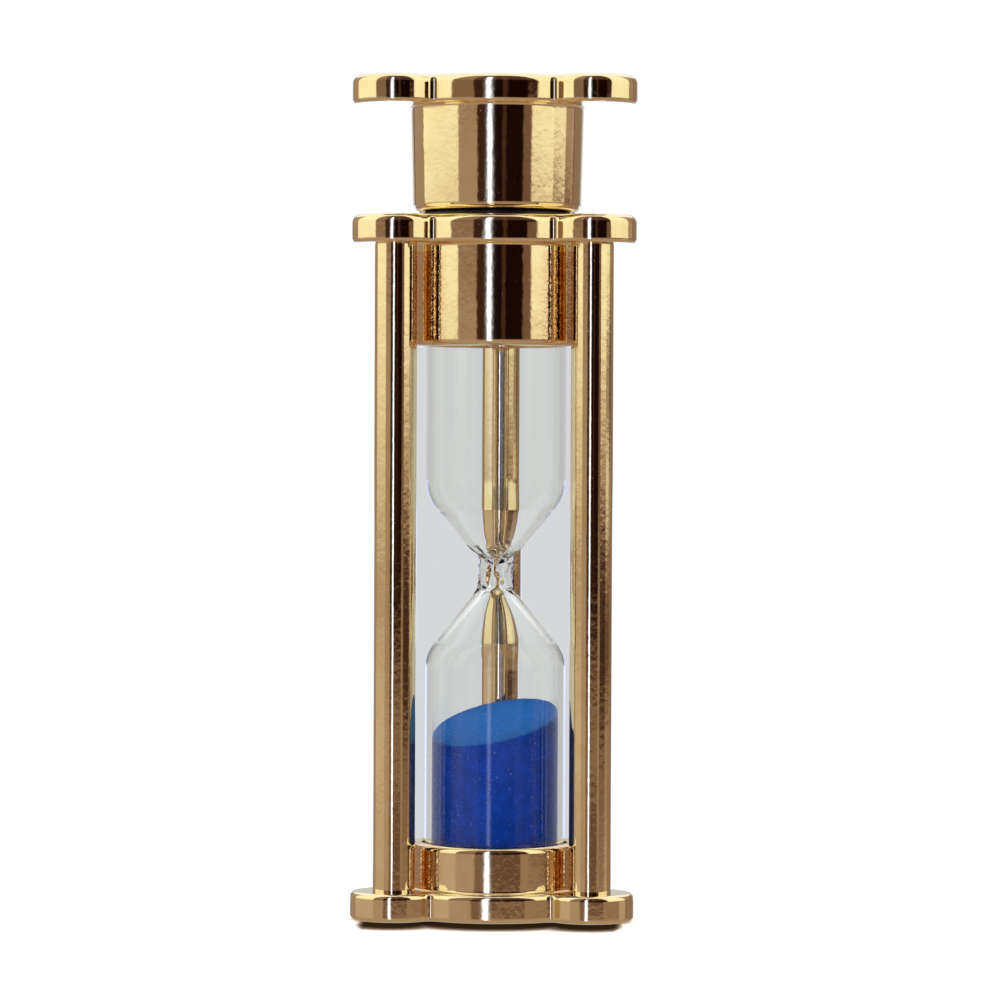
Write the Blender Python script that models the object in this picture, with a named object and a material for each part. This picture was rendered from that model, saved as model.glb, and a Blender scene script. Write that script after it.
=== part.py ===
"""Hourglass with three pillars, a sand glass and a pull-off cap over a data plug.

Blender 4.5, metres, +Z up. The origin is on the axis of the glass, in the plane
that the base stands on. The rear pillar is on +Y and the front faces -Y.
Levels are built up from the base: each one is the level below plus one size.
"""
from math import acos, atan2, cos, degrees, hypot, radians, sin, tan

import bpy
import bmesh
from mathutils import Vector

MM = 0.001

# ---- driving dimensions ---------------------------------------------------
FIT = 0.1 * MM               # gap left between pieces that touch
CUT_OVER = 1.0 * MM          # how far a cutter runs past the face it opens

# lobed end plates
PLATE_T = 2.8 * MM
CAP_PLATE_T = 2.8 * MM
DISC_RIM = 1.5 * MM          # plate edge beyond the collar
LOBE_RIM = 2.25 * MM         # lobe edge beyond the pillar
WAIST_FILLET_R = 0.8 * MM    # hollow corner between disc and lobe
EDGE_ROUND_R = 0.5 * MM      # rounding of the plates' rims

# sand glass
GLASS_R = 7.0 * MM
GLASS_WALL = 0.65 * MM
GLASS_END_R = 2.0 * MM       # outer corner of the closed end
THROAT_R = 1.7 * MM          # outside of the throat
THROAT_H = 3.8 * MM
ORIFICE_R = 0.4 * MM
LOWER_CONE_DEG = 38.0
UPPER_CONE_DEG = 43.5
LOWER_SHOULDER_R = 2.5 * MM
UPPER_SHOULDER_R = 3.0 * MM
THROAT_FILLET_R = 1.0 * MM
ORIFICE_FILLET_R = 1.4 * MM

# frame around the glass
GLASS_GAP = 0.3 * MM         # glass to the bore of its collars
COLLAR_WALL = 1.2 * MM
COLLAR_EDGE_R = 0.3 * MM
BASE_COLLAR_H = 4.5 * MM
TOP_COLLAR_H = 10.1 * MM
GLASS_WINDOW_H = 49.4 * MM   # glass in view between the two collars
THROAT_ABOVE_COLLAR = 27.15 * MM
GLASS_SEAT_H = 2.8 * MM      # glass inside the upper collar
PLATE_FLOOR_T = 2.0 * MM     # metal left under the glass
PILLAR_R = 2.1 * MM
PILLAR_GAP = 0.6 * MM        # collar to pillar
SOCKET_DEPTH = 1.3 * MM
LOWER_CUSHION_T = 1.0 * MM
UPPER_CUSHION_T = 0.5 * MM

# base screws
SCREW_R = 0.6 * MM
SCREW_HEAD_R = 1.3 * MM
SCREW_HEAD_T = 0.7 * MM
SCREW_SUNK = 0.15 * MM       # head below the underside
SCREW_IN_PILLAR = 4.0 * MM
RECESS_W = 0.3 * MM
RECESS_SPAN = 1.4 * MM
RECESS_DEPTH = 0.4 * MM

# sand
SAND_LEVEL = 12.0 * MM       # middle of the surface above the lower collar
SAND_SLOPE_X = 0.185
SAND_SLOPE_Y = 0.25

# stopper in the open end of the glass
STOPPER_IN_GLASS = 2.2 * MM
STOPPER_HEAD_T = 0.6 * MM
STOPPER_HEAD_IN = 0.2 * MM   # stopper's head inside the edge of the glass

# data plug and its electronics
PLUG_W = 12.0 * MM
PLUG_D = 4.5 * MM
PLUG_WALL = 0.3 * MM
PLUG_CORNER_R = 0.5 * MM
PLUG_REACH = 11.75 * MM      # shell standing out of its holder
PLUG_TAIL = 0.8 * MM         # shell below its holder
WINDOW_W = 2.5 * MM
WINDOW_H = 1.95 * MM
WINDOW_SPACING = 4.6 * MM
WINDOW_FROM_TIP = 5.2 * MM
TONGUE_T = 1.75 * MM
TONGUE_SHORT = 0.7 * MM      # tongue behind the shell's mouth
CONTACT_W = 1.0 * MM
CONTACT_T = 0.2 * MM
CONTACT_TAIL = 1.7 * MM      # contact lying on the board
INNER_CONTACT_SHORT = 1.0 * MM
CONTACT_TIP_SHORT = 1.0 * MM
CONTACT_X = (-3.5 * MM, -1.0 * MM, 1.0 * MM, 3.5 * MM)
HOLDER_WALL = 0.85 * MM
HOLDER_T = 2.8 * MM
HOLDER_LEDGE = 0.45 * MM
NECK_PROUD = 0.6 * MM        # holder standing out of the top plate
BOARD_IN = 0.2 * MM          # board inside the plug's two sides
BOARD_T = 0.8 * MM
BOARD_CLEAR = 0.3 * MM
CHIP_MARGIN = 0.4 * MM       # chips inside the board's edges
MEMORY_CHIP_W = 8.0 * MM
MEMORY_CHIP_T = 0.9 * MM
CONTROLLER_CHIP_W = 3.6 * MM
CRYSTAL_W = 3.0 * MM
FRONT_CHIP_T = 0.8 * MM

# cap
GRIP_GAP = 0.2 * MM          # liner to plug
LINER_WALL = 0.7 * MM
CAP_WALL = 0.9 * MM          # at the mouth
CAP_TAPER = 0.25 * MM        # barrel wider at the plate than at the mouth
CAP_GAP = 0.5 * MM           # cap rim above the top plate
CAP_TIP_GAP = 0.35 * MM      # plug tip below the cap's roof
CAP_ROOF_T = 1.0 * MM

# facets
ROUND_STEPS = 40
GLASS_STEPS = 30
SMALL_STEPS = 24
LOBE_STEPS = 12
DISC_STEPS = 6
FILLET_STEPS = 2
EDGE_STEPS = 2
ARC_STEPS = 3

# ---- worked out from them -------------------------------------------------
POCKET_R = GLASS_R + GLASS_GAP
COLLAR_R = POCKET_R + COLLAR_WALL
DISC_R = COLLAR_R + DISC_RIM
LOBE_R = PILLAR_R + LOBE_RIM
PILLAR_CIRCLE_R = COLLAR_R + PILLAR_GAP + PILLAR_R
SOCKET_R = PILLAR_R + FIT
PILLAR_ANGLES = {"left": 210.0, "right": 330.0, "rear": 90.0}

BASE_COLLAR_TOP = PLATE_T + BASE_COLLAR_H
GLASS_BOTTOM = PLATE_FLOOR_T + FIT + LOWER_CUSHION_T + FIT
THROAT_Z = BASE_COLLAR_TOP + THROAT_ABOVE_COLLAR
TOP_COLLAR_Z = BASE_COLLAR_TOP + GLASS_WINDOW_H
GLASS_TOP = TOP_COLLAR_Z + GLASS_SEAT_H
TOP_PLATE_Z = TOP_COLLAR_Z + TOP_COLLAR_H
TOP_PLATE_TOP = TOP_PLATE_Z + PLATE_T

STOPPER_HEAD_Z = GLASS_TOP + FIT
STOPPER_HEAD_R = GLASS_R - STOPPER_HEAD_IN
UPPER_CUSHION_Z = STOPPER_HEAD_Z + STOPPER_HEAD_T + FIT
CHAMBER_Z = UPPER_CUSHION_Z + UPPER_CUSHION_T + FIT

HOLDER_R = hypot(PLUG_W / 2, PLUG_D / 2) + HOLDER_WALL
CHAMBER_R = HOLDER_R - HOLDER_LEDGE
NECK_TOP = TOP_PLATE_TOP + NECK_PROUD
HOLDER_Z = NECK_TOP - HOLDER_T
PLUG_TIP = NECK_TOP + PLUG_REACH
PLUG_Z = HOLDER_Z - PLUG_TAIL
TONGUE_FACE_Y = PLUG_D / 2 - PLUG_WALL - FIT - TONGUE_T
BOARD_W = PLUG_W - 2 * BOARD_IN
BOARD_TOP = PLUG_Z - FIT
BOARD_Z = CHAMBER_Z + BOARD_CLEAR
CONTACT_FOOT = BOARD_TOP - CONTACT_TAIL

LINER_R = hypot(PLUG_W / 2 + GRIP_GAP, PLUG_D / 2 + GRIP_GAP) + LINER_WALL
CAP_BORE_R = LINER_R + FIT
CAP_MOUTH_R = CAP_BORE_R + CAP_WALL
CAP_Z = TOP_PLATE_TOP + CAP_GAP
LINER_Z = NECK_TOP + FIT
CAP_ROOF_Z = PLUG_TIP + CAP_TIP_GAP
CAP_TOP = CAP_ROOF_Z + CAP_ROOF_T
CAP_PLATE_Z = CAP_TOP - CAP_PLATE_T

# colour, roughness, metallic
FINISHES = {
    "gold_plate": ((0.83, 0.60, 0.36), 0.12, 1.0),
    "glass": ((0.92, 0.96, 0.95), 0.03, 0.0),
    "blue_sand": ((0.02, 0.09, 0.42), 0.90, 0.0),
    "rubber": ((0.75, 0.74, 0.70), 0.70, 0.0),
    "foam": ((0.80, 0.78, 0.72), 0.90, 0.0),
    "black_plastic": ((0.02, 0.02, 0.02), 0.45, 0.0),
    "plug_steel": ((0.72, 0.73, 0.74), 0.25, 1.0),
    "contact_gold": ((0.90, 0.68, 0.30), 0.25, 1.0),
    "board_green": ((0.02, 0.22, 0.08), 0.50, 0.0),
    "chip_black": ((0.03, 0.03, 0.03), 0.60, 0.0),
    "screw_steel": ((0.55, 0.55, 0.56), 0.35, 1.0),
}


# ---- outlines and profiles ------------------------------------------------
def arc(centre_x, centre_y, radius, start_deg, end_deg, steps):
    """Points of an arc in a plane, both ends included."""
    points = []
    for step in range(steps + 1):
        angle = radians(start_deg + (end_deg - start_deg) * step / steps)
        points.append((centre_x + radius * cos(angle), centre_y + radius * sin(angle)))
    return points


def plate_outline(inset):
    """Round disc with a lobe over each pillar, drawn inwards by inset.

    The hollow corner is an arc that touches the disc and the lobe. Its centre
    is WAIST_FILLET_R outside both, which gives a triangle of three known sides.
    """
    to_corner = DISC_R + WAIST_FILLET_R
    lobe_to_corner = LOBE_R + WAIST_FILLET_R
    turn = acos((to_corner ** 2 + PILLAR_CIRCLE_R ** 2 - lobe_to_corner ** 2)
                / (2 * to_corner * PILLAR_CIRCLE_R))
    corner_x, corner_y = to_corner * cos(turn), to_corner * sin(turn)
    facing = degrees(atan2(corner_y, corner_x - PILLAR_CIRCLE_R))
    turn = degrees(turn)
    pitch = 360 / len(PILLAR_ANGLES)
    lobe = arc(PILLAR_CIRCLE_R, 0, LOBE_R - inset, -facing, facing, LOBE_STEPS)
    corner = arc(corner_x, corner_y, WAIST_FILLET_R + inset, facing + 180, turn + 180, FILLET_STEPS)
    mirrored = [(x, -y) for x, y in reversed(corner)]
    edge = arc(0, 0, DISC_R - inset, turn, pitch - turn, DISC_STEPS)
    one_pitch = mirrored[:-1] + lobe + corner[1:] + edge[1:-1]
    points = []
    for angle in sorted(PILLAR_ANGLES.values()):
        points += turned_points(one_pitch, angle)
    return points


def turned_points(points, angle_deg):
    """Points turned about the origin."""
    c, s = cos(radians(angle_deg)), sin(radians(angle_deg))
    return [(x * c - y * s, x * s + y * c) for x, y in points]


def round_rectangle(width, depth, radius):
    """Rectangle with rounded corners, centred on the origin."""
    across, along = width / 2 - radius, depth / 2 - radius
    points = []
    for quarter, (side_x, side_y) in enumerate(((1, 1), (-1, 1), (-1, -1), (1, -1))):
        points += arc(side_x * across, side_y * along, radius, 90 * quarter, 90 * quarter + 90, ARC_STEPS)
    return points


def cross(span, width):
    """Plus-shaped outline of two bars."""
    arm, half = span / 2, width / 2
    quarter = [(arm, -half), (arm, half), (half, half)]
    return [point for angle in (0, 90, 180, 270) for point in turned_points(quarter, angle)]


def shoulder_run(radius, end_radius, shoulder_r, fillet_r, cone_deg):
    """Profile from a straight tube in to a throat, as (radius, distance along).

    A rounded shoulder, a cone and a hollow fillet, tangent to each other.
    """
    lean = radians(cone_deg)
    cone_drop = radius - end_radius - (shoulder_r + fillet_r) * (1 - cos(lean))
    cone_run = cone_drop / tan(lean)
    points = arc(radius - shoulder_r, 0, shoulder_r, 0, cone_deg, ARC_STEPS)
    fillet_x = end_radius + fillet_r
    fillet_z = (shoulder_r + fillet_r) * sin(lean) + cone_run
    points += arc(fillet_x, fillet_z, fillet_r, 180 + cone_deg, 180, ARC_STEPS)
    return points


# ---- solids ---------------------------------------------------------------
def turned(profile, steps=ROUND_STEPS):
    """Solid of a closed profile of (radius, z) points turned about Z.

    A point on the axis becomes one vertex, which closes its end.
    """
    solid = bmesh.new()
    rings = []
    for radius, z in profile:
        if radius < 1e-7:
            rings.append([solid.verts.new((0, 0, z))])
        else:
            ring = [solid.verts.new((x, y, z)) for x, y in arc(0, 0, radius, 0, 360, steps)[:-1]]
            rings.append(ring)
    for low, high in zip(rings, rings[1:] + rings[:1]):
        for step in range(steps):
            after = (step + 1) % steps
            corners = [low[step % len(low)], low[after % len(low)],
                       high[after % len(high)], high[step % len(high)]]
            corners = list(dict.fromkeys(corners))
            if len(corners) > 2:
                solid.faces.new(corners)
    bmesh.ops.recalc_face_normals(solid, faces=solid.faces)
    return solid


def stacked(rings):
    """Solid through a stack of outlines, each a list of (x, y, z) points."""
    solid = bmesh.new()
    rows = [[solid.verts.new(point) for point in ring] for ring in rings]
    count = len(rows[0])
    for low, high in zip(rows, rows[1:]):
        for step in range(count):
            after = (step + 1) % count
            solid.faces.new((low[step], low[after], high[after], high[step]))
    solid.faces.new(reversed(rows[0]))
    solid.faces.new(rows[-1])
    bmesh.ops.recalc_face_normals(solid, faces=solid.faces)
    return solid


def prism(outline, z0, z1):
    """Outline raised from z0 to z1."""
    return stacked([[(x, y, z) for x, y in outline] for z in (z0, z1)])


def lobed_plate(thickness):
    """Lobed end plate from z 0 to its thickness, with rounded rims."""
    rings = []
    for inset, z in arc(EDGE_ROUND_R, EDGE_ROUND_R, EDGE_ROUND_R, 270, 180, EDGE_STEPS):
        rings.append([(x, y, z) for x, y in plate_outline(inset)])
    for inset, z in arc(EDGE_ROUND_R, thickness - EDGE_ROUND_R, EDGE_ROUND_R, 180, 90, EDGE_STEPS):
        rings.append([(x, y, z) for x, y in plate_outline(inset)])
    return stacked(rings)


def box(width, depth, height):
    """Box centred on X and Y, standing on z 0."""
    solid = bmesh.new()
    bmesh.ops.create_cube(solid, size=1)
    bmesh.ops.scale(solid, vec=(width, depth, height), verts=solid.verts)
    bmesh.ops.translate(solid, vec=(0, 0, height / 2), verts=solid.verts)
    return solid


def disc(radius, thickness, steps=ROUND_STEPS):
    """Plain round disc standing on z 0."""
    return turned([(0, 0), (radius, 0), (radius, thickness), (0, thickness)], steps)


def placed(solid, offset):
    """The same solid moved by offset."""
    bmesh.ops.translate(solid, vec=offset, verts=solid.verts)
    return solid


def joined(solids):
    """Several solids in one mesh, for a cutter of several holes."""
    whole = bmesh.new()
    for solid in solids:
        mesh = bpy.data.meshes.new("piece")
        solid.to_mesh(mesh)
        whole.from_mesh(mesh)
        solid.free()
        bpy.data.meshes.remove(mesh)
    return whole


# ---- scene ----------------------------------------------------------------
def clear_scene():
    for item in list(bpy.data.objects):
        bpy.data.objects.remove(item, do_unlink=True)


def finish(name):
    """The named material, made once."""
    if name in bpy.data.materials:
        return bpy.data.materials[name]
    colour, roughness, metallic = FINISHES[name]
    material = bpy.data.materials.new(name)
    material.use_nodes = True
    shader = material.node_tree.nodes["Principled BSDF"]
    shader.inputs["Base Color"].default_value = (*colour, 1)
    shader.inputs["Roughness"].default_value = roughness
    shader.inputs["Metallic"].default_value = metallic
    if name == "glass":
        shader.inputs["Transmission Weight"].default_value = 1
    return material


def empty(name, z):
    """Empty on the axis, which a group of pieces hangs on."""
    item = bpy.data.objects.new(name, None)
    item.location = (0, 0, z)
    bpy.context.collection.objects.link(item)
    bpy.context.view_layer.update()
    return item


def add(name, solid, location, group, finish_name):
    """One piece: its mesh from solid, at a world location, hung on its group."""
    mesh = bpy.data.meshes.new(name)
    solid.to_mesh(mesh)
    solid.free()
    mesh.shade_smooth()
    mesh.set_sharp_from_angle(angle=radians(35))
    item = bpy.data.objects.new(name, mesh)
    bpy.context.collection.objects.link(item)
    item.parent = group
    item.location = Vector(location) - group.location
    if finish_name:
        mesh.materials.append(finish(finish_name))
    return item


def combine(item, solid, operation):
    """Boolean of a piece with another solid given in the piece's own frame."""
    tool = add(f"{item.name}_{operation.lower()}_{len(item.modifiers)}", solid,
               item.parent.location + item.location, item.parent, None)
    tool.hide_render = True
    tool.display_type = "WIRE"
    step = item.modifiers.new(operation.title(), "BOOLEAN")
    step.operation = operation
    step.solver = "EXACT"
    step.object = tool


def pillar_place(angle_deg, z=0.0):
    """Point on the pillars' circle."""
    angle = radians(angle_deg)
    return (PILLAR_CIRCLE_R * cos(angle), PILLAR_CIRCLE_R * sin(angle), z)


def at_pillars(make, z=0.0):
    """One solid at each pillar, in one mesh."""
    return joined([placed(make(), pillar_place(angle, z)) for angle in PILLAR_ANGLES.values()])


# ---- frame ----------------------------------------------------------------
def screw_and_socket_cutter():
    """Countersink, shank hole and pillar socket on one axis, through the base."""
    hole_r = SCREW_R + FIT
    head_r = SCREW_HEAD_R + FIT
    cone_end = SCREW_SUNK + SCREW_HEAD_T
    socket_floor = PLATE_T - SOCKET_DEPTH
    return turned([
        (0, -CUT_OVER), (head_r, -CUT_OVER), (head_r, SCREW_SUNK), (hole_r, cone_end),
        (hole_r, socket_floor), (SOCKET_R, socket_floor),
        (SOCKET_R, PLATE_T + CUT_OVER), (0, PLATE_T + CUT_OVER)], SMALL_STEPS)


def base_plate(group):
    """Lobed foot with the short collar that holds the closed end of the glass."""
    item = add("base_plate", lobed_plate(PLATE_T), (0, 0, 0), group, "gold_plate")
    rim = arc(COLLAR_R - COLLAR_EDGE_R, BASE_COLLAR_TOP - COLLAR_EDGE_R, COLLAR_EDGE_R, 0, 90, ARC_STEPS)
    combine(item, turned([(0, PLATE_T / 2), (COLLAR_R, PLATE_T / 2), *rim, (0, BASE_COLLAR_TOP)]), "UNION")
    pocket = disc(POCKET_R, BASE_COLLAR_TOP - PLATE_FLOOR_T + CUT_OVER)
    combine(item, placed(pocket, (0, 0, PLATE_FLOOR_T)), "DIFFERENCE")
    combine(item, at_pillars(screw_and_socket_cutter), "DIFFERENCE")


def top_plate(group):
    """Lobed plate with the deep collar that hangs under it.

    Its bore has three steps: the open end of the glass, the chamber of the
    circuit board, and the recess of the plug holder.
    """
    item = add("top_plate", placed(lobed_plate(PLATE_T), (0, 0, TOP_COLLAR_H)),
               (0, 0, TOP_COLLAR_Z), group, "gold_plate")
    rim = arc(COLLAR_R - COLLAR_EDGE_R, COLLAR_EDGE_R, COLLAR_EDGE_R, 270, 360, ARC_STEPS)
    middle = TOP_COLLAR_H + PLATE_T / 2
    combine(item, turned([(0, 0), *rim, (COLLAR_R, middle), (0, middle)]), "UNION")
    chamber_z = CHAMBER_Z - TOP_COLLAR_Z
    ledge_z = HOLDER_Z - FIT - TOP_COLLAR_Z
    recess_r = HOLDER_R + FIT
    over = TOP_COLLAR_H + PLATE_T + CUT_OVER
    combine(item, turned([
        (0, -CUT_OVER), (POCKET_R, -CUT_OVER), (POCKET_R, chamber_z), (CHAMBER_R, chamber_z),
        (CHAMBER_R, ledge_z), (recess_r, ledge_z), (recess_r, over), (0, over)]), "DIFFERENCE")
    socket_h = CUT_OVER + SOCKET_DEPTH
    combine(item, at_pillars(lambda: disc(SOCKET_R, socket_h, SMALL_STEPS), TOP_COLLAR_H - CUT_OVER),
            "DIFFERENCE")


def pillars(group):
    """Three plain rods, seated in the plates, each tapped from below for its screw."""
    foot_z = PLATE_T - SOCKET_DEPTH + FIT
    length = TOP_PLATE_Z + SOCKET_DEPTH - FIT - foot_z
    tap_r = SCREW_R + FIT
    tap_depth = SCREW_IN_PILLAR + FIT
    for side, angle in PILLAR_ANGLES.items():
        rod = turned([
            (0, tap_depth), (tap_r, tap_depth), (tap_r, 0),
            (PILLAR_R, 0), (PILLAR_R, length), (0, length)], SMALL_STEPS)
        add(f"pillar_{side}", rod, pillar_place(angle, foot_z), group, "gold_plate")


def base_screws(group):
    """Countersunk screw up into each pillar, with a cross recess."""
    foot_z = PLATE_T - SOCKET_DEPTH + FIT
    shank_end = foot_z + SCREW_IN_PILLAR - SCREW_SUNK
    for number, angle in enumerate(PILLAR_ANGLES.values(), start=1):
        shape = turned([
            (0, 0), (SCREW_HEAD_R, 0), (SCREW_R, SCREW_HEAD_T),
            (SCREW_R, shank_end), (0, shank_end)], SMALL_STEPS)
        item = add(f"base_screw_{number}", shape, pillar_place(angle, SCREW_SUNK), group, "screw_steel")
        combine(item, prism(cross(RECESS_SPAN, RECESS_W), -CUT_OVER, RECESS_DEPTH), "DIFFERENCE")


# ---- sand glass -----------------------------------------------------------
def glass_side(radius, throat_r, wall_in, fillet_r, lower):
    """One half of a wall's profile, from the tube to the throat."""
    shoulder_r = (LOWER_SHOULDER_R if lower else UPPER_SHOULDER_R) - wall_in
    cone_deg = LOWER_CONE_DEG if lower else UPPER_CONE_DEG
    return shoulder_run(radius, throat_r, shoulder_r, fillet_r, cone_deg)


def glass_bulb(group):
    """Blown glass: closed round end below, thick throat, open end above."""
    outer_low = glass_side(GLASS_R, THROAT_R, 0, THROAT_FILLET_R, True)
    outer_high = glass_side(GLASS_R, THROAT_R, 0, THROAT_FILLET_R, False)
    low_z = THROAT_Z - THROAT_H / 2 - outer_low[-1][1]
    high_z = THROAT_Z + THROAT_H / 2 + outer_high[-1][1]
    inner_r = GLASS_R - GLASS_WALL
    inner_low = glass_side(inner_r, ORIFICE_R, GLASS_WALL, ORIFICE_FILLET_R, True)
    inner_high = glass_side(inner_r, ORIFICE_R, GLASS_WALL, ORIFICE_FILLET_R, False)
    end_r = GLASS_END_R
    inner_end_r = end_r - GLASS_WALL
    floor_z = GLASS_BOTTOM + GLASS_WALL

    profile = [(0, GLASS_BOTTOM)]
    profile += arc(GLASS_R - end_r, GLASS_BOTTOM + end_r, end_r, 270, 360, ARC_STEPS)
    profile += [(r, low_z + run) for r, run in outer_low]
    profile += [(r, high_z - run) for r, run in reversed(outer_high)]
    profile += [(GLASS_R, GLASS_TOP), (inner_r, GLASS_TOP)]
    profile += [(r, high_z - run) for r, run in inner_high]
    profile += [(r, low_z + run) for r, run in reversed(inner_low)]
    profile += arc(inner_r - inner_end_r, floor_z + inner_end_r, inner_end_r, 360, 270, ARC_STEPS)
    profile += [(0, floor_z)]
    local = [(r, z - GLASS_BOTTOM) for r, z in profile]
    add("glass_bulb", turned(local, GLASS_STEPS), (0, 0, GLASS_BOTTOM), group, "glass")


def sand(group):
    """Sand run into the lower bulb, its surface left leaning."""
    radius = GLASS_R - GLASS_WALL - FIT
    floor_z = GLASS_BOTTOM + GLASS_WALL + FIT
    corner_r = GLASS_END_R - GLASS_WALL
    level = BASE_COLLAR_TOP + SAND_LEVEL - floor_z
    rings = []
    for ring_r, z in arc(radius - corner_r, corner_r, corner_r, 270, 360, ARC_STEPS):
        rings.append([(x, y, z) for x, y in arc(0, 0, ring_r, 0, 360, GLASS_STEPS)[:-1]])
    rim = arc(0, 0, radius, 0, 360, GLASS_STEPS)[:-1]
    rings.append([(x, y, level + SAND_SLOPE_X * x + SAND_SLOPE_Y * y) for x, y in rim])
    add("sand", stacked(rings), (0, 0, floor_z), group, "blue_sand")


def glass_fittings(group):
    """Stopper of the filling end and the two cushions that the glass sits between."""
    plug_r = GLASS_R - GLASS_WALL - FIT
    neck_h = STOPPER_IN_GLASS + FIT
    stopper = turned([
        (0, 0), (plug_r, 0), (plug_r, neck_h), (STOPPER_HEAD_R, neck_h),
        (STOPPER_HEAD_R, neck_h + STOPPER_HEAD_T), (0, neck_h + STOPPER_HEAD_T)], GLASS_STEPS)
    add("fill_stopper", stopper, (0, 0, STOPPER_HEAD_Z - neck_h), group, "rubber")
    cushion_r = POCKET_R - 2 * FIT
    add("lower_cushion", disc(cushion_r, LOWER_CUSHION_T), (0, 0, PLATE_FLOOR_T + FIT), group, "foam")
    add("upper_cushion", disc(cushion_r, UPPER_CUSHION_T), (0, 0, UPPER_CUSHION_Z), group, "foam")


# ---- data plug ------------------------------------------------------------
def plug_holder(group):
    """Black disc in the recess of the top plate, slotted for the plug's shell."""
    item = add("plug_holder", disc(HOLDER_R, HOLDER_T), (0, 0, HOLDER_Z), group, "black_plastic")
    slot = round_rectangle(PLUG_W + 2 * FIT, PLUG_D + 2 * FIT, PLUG_CORNER_R + FIT)
    combine(item, prism(slot, -CUT_OVER, HOLDER_T + CUT_OVER), "DIFFERENCE")


def plug_shell(group):
    """Folded steel shell, open at both ends, with two catch windows in each face."""
    height = PLUG_TIP - PLUG_Z
    item = add("plug_shell", prism(round_rectangle(PLUG_W, PLUG_D, PLUG_CORNER_R), 0, height),
               (0, 0, PLUG_Z), group, "plug_steel")
    inner = round_rectangle(PLUG_W - 2 * PLUG_WALL, PLUG_D - 2 * PLUG_WALL, PLUG_CORNER_R - PLUG_WALL)
    combine(item, prism(inner, -CUT_OVER, height + CUT_OVER), "DIFFERENCE")
    window_z = height - WINDOW_FROM_TIP - WINDOW_H / 2
    through = PLUG_D + 2 * CUT_OVER
    windows = [placed(box(WINDOW_W, through, WINDOW_H), (side * WINDOW_SPACING / 2, 0, window_z))
               for side in (-1, 1)]
    combine(item, joined(windows), "DIFFERENCE")


def plug_inside(group):
    """Plastic tongue in the back half of the shell and the four contacts on it."""
    tip = PLUG_TIP - TONGUE_SHORT
    width = PLUG_W - 2 * (PLUG_WALL + FIT)
    tongue = prism(round_rectangle(width, TONGUE_T, PLUG_CORNER_R - PLUG_WALL), 0, tip - PLUG_Z)
    add("plug_tongue", tongue, (0, TONGUE_FACE_Y + TONGUE_T / 2, PLUG_Z), group, "black_plastic")
    contact_y = TONGUE_FACE_Y - FIT - CONTACT_T / 2
    for number, x in enumerate(CONTACT_X, start=1):
        short = CONTACT_TIP_SHORT + (INNER_CONTACT_SHORT if number in (2, 3) else 0)
        strip = box(CONTACT_W, CONTACT_T, tip - short - CONTACT_FOOT)
        add(f"plug_contact_{number}", strip, (x, contact_y, CONTACT_FOOT), group, "contact_gold")


def electronics(group):
    """Board under the plug, with its three parts standing just off its faces.

    The memory chip fills the back. The other two share the front below the contacts.
    """
    board_y = TONGUE_FACE_Y + BOARD_T / 2
    board = box(BOARD_W, BOARD_T, BOARD_TOP - BOARD_Z)
    add("circuit_board", board, (0, board_y, BOARD_Z), group, "board_green")
    chip_z = BOARD_Z + CHIP_MARGIN
    back_y = TONGUE_FACE_Y + BOARD_T + FIT + MEMORY_CHIP_T / 2
    back_h = BOARD_TOP - CHIP_MARGIN - chip_z
    add("memory_chip", box(MEMORY_CHIP_W, MEMORY_CHIP_T, back_h), (0, back_y, chip_z), group, "chip_black")
    front_y = TONGUE_FACE_Y - FIT - FRONT_CHIP_T / 2
    front_h = CONTACT_FOOT - CHIP_MARGIN - chip_z
    side = BOARD_W / 4
    controller = box(CONTROLLER_CHIP_W, FRONT_CHIP_T, front_h)
    add("controller_chip", controller, (-side, front_y, chip_z), group, "chip_black")
    crystal = box(CRYSTAL_W, FRONT_CHIP_T, front_h / 2)
    add("clock_crystal", crystal, (side, front_y, chip_z), group, "plug_steel")


# ---- cap ------------------------------------------------------------------
def cap_shell(group):
    """Lobed plate with a barrel under it, bored from below."""
    item = add("cap_shell", placed(lobed_plate(CAP_PLATE_T), (0, 0, CAP_PLATE_Z - CAP_Z)),
               (0, 0, CAP_Z), group, "gold_plate")
    root = CAP_PLATE_Z - CAP_Z + CAP_PLATE_T / 2
    rim = arc(CAP_MOUTH_R - COLLAR_EDGE_R, COLLAR_EDGE_R, COLLAR_EDGE_R, 270, 360, ARC_STEPS)
    combine(item, turned([(0, 0), *rim, (CAP_MOUTH_R + CAP_TAPER, root), (0, root)]), "UNION")
    bore = disc(CAP_BORE_R, CAP_ROOF_Z - CAP_Z + CUT_OVER)
    combine(item, placed(bore, (0, 0, -CUT_OVER)), "DIFFERENCE")


def cap_liner(group):
    """Black liner pressed into the cap, slotted to grip the plug."""
    height = CAP_ROOF_Z - FIT - LINER_Z
    item = add("cap_liner", disc(LINER_R, height), (0, 0, LINER_Z), group, "black_plastic")
    slot = round_rectangle(PLUG_W + 2 * GRIP_GAP, PLUG_D + 2 * GRIP_GAP, PLUG_CORNER_R + GRIP_GAP)
    combine(item, prism(slot, -CUT_OVER, height + CUT_OVER), "DIFFERENCE")


def build():
    clear_scene()
    frame = empty("hourglass_frame", 0)
    for make in (base_plate, top_plate, pillars, base_screws, glass_bulb, sand, glass_fittings,
                 plug_holder, plug_shell, plug_inside, electronics):
        make(frame)
    slide = empty("cap_slide", CAP_Z)
    for make in (cap_shell, cap_liner):
        make(slide)
    bpy.context.view_layer.update()


build()
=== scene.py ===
"""Fine surfaces, finishes and studio for the hourglass with the pull-off cap.

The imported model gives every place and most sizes; this script gives the looks.
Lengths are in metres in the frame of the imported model: +Z up, the front on -Y.
"""
import logging
import math
from dataclasses import dataclass, field
from enum import Enum

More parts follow.
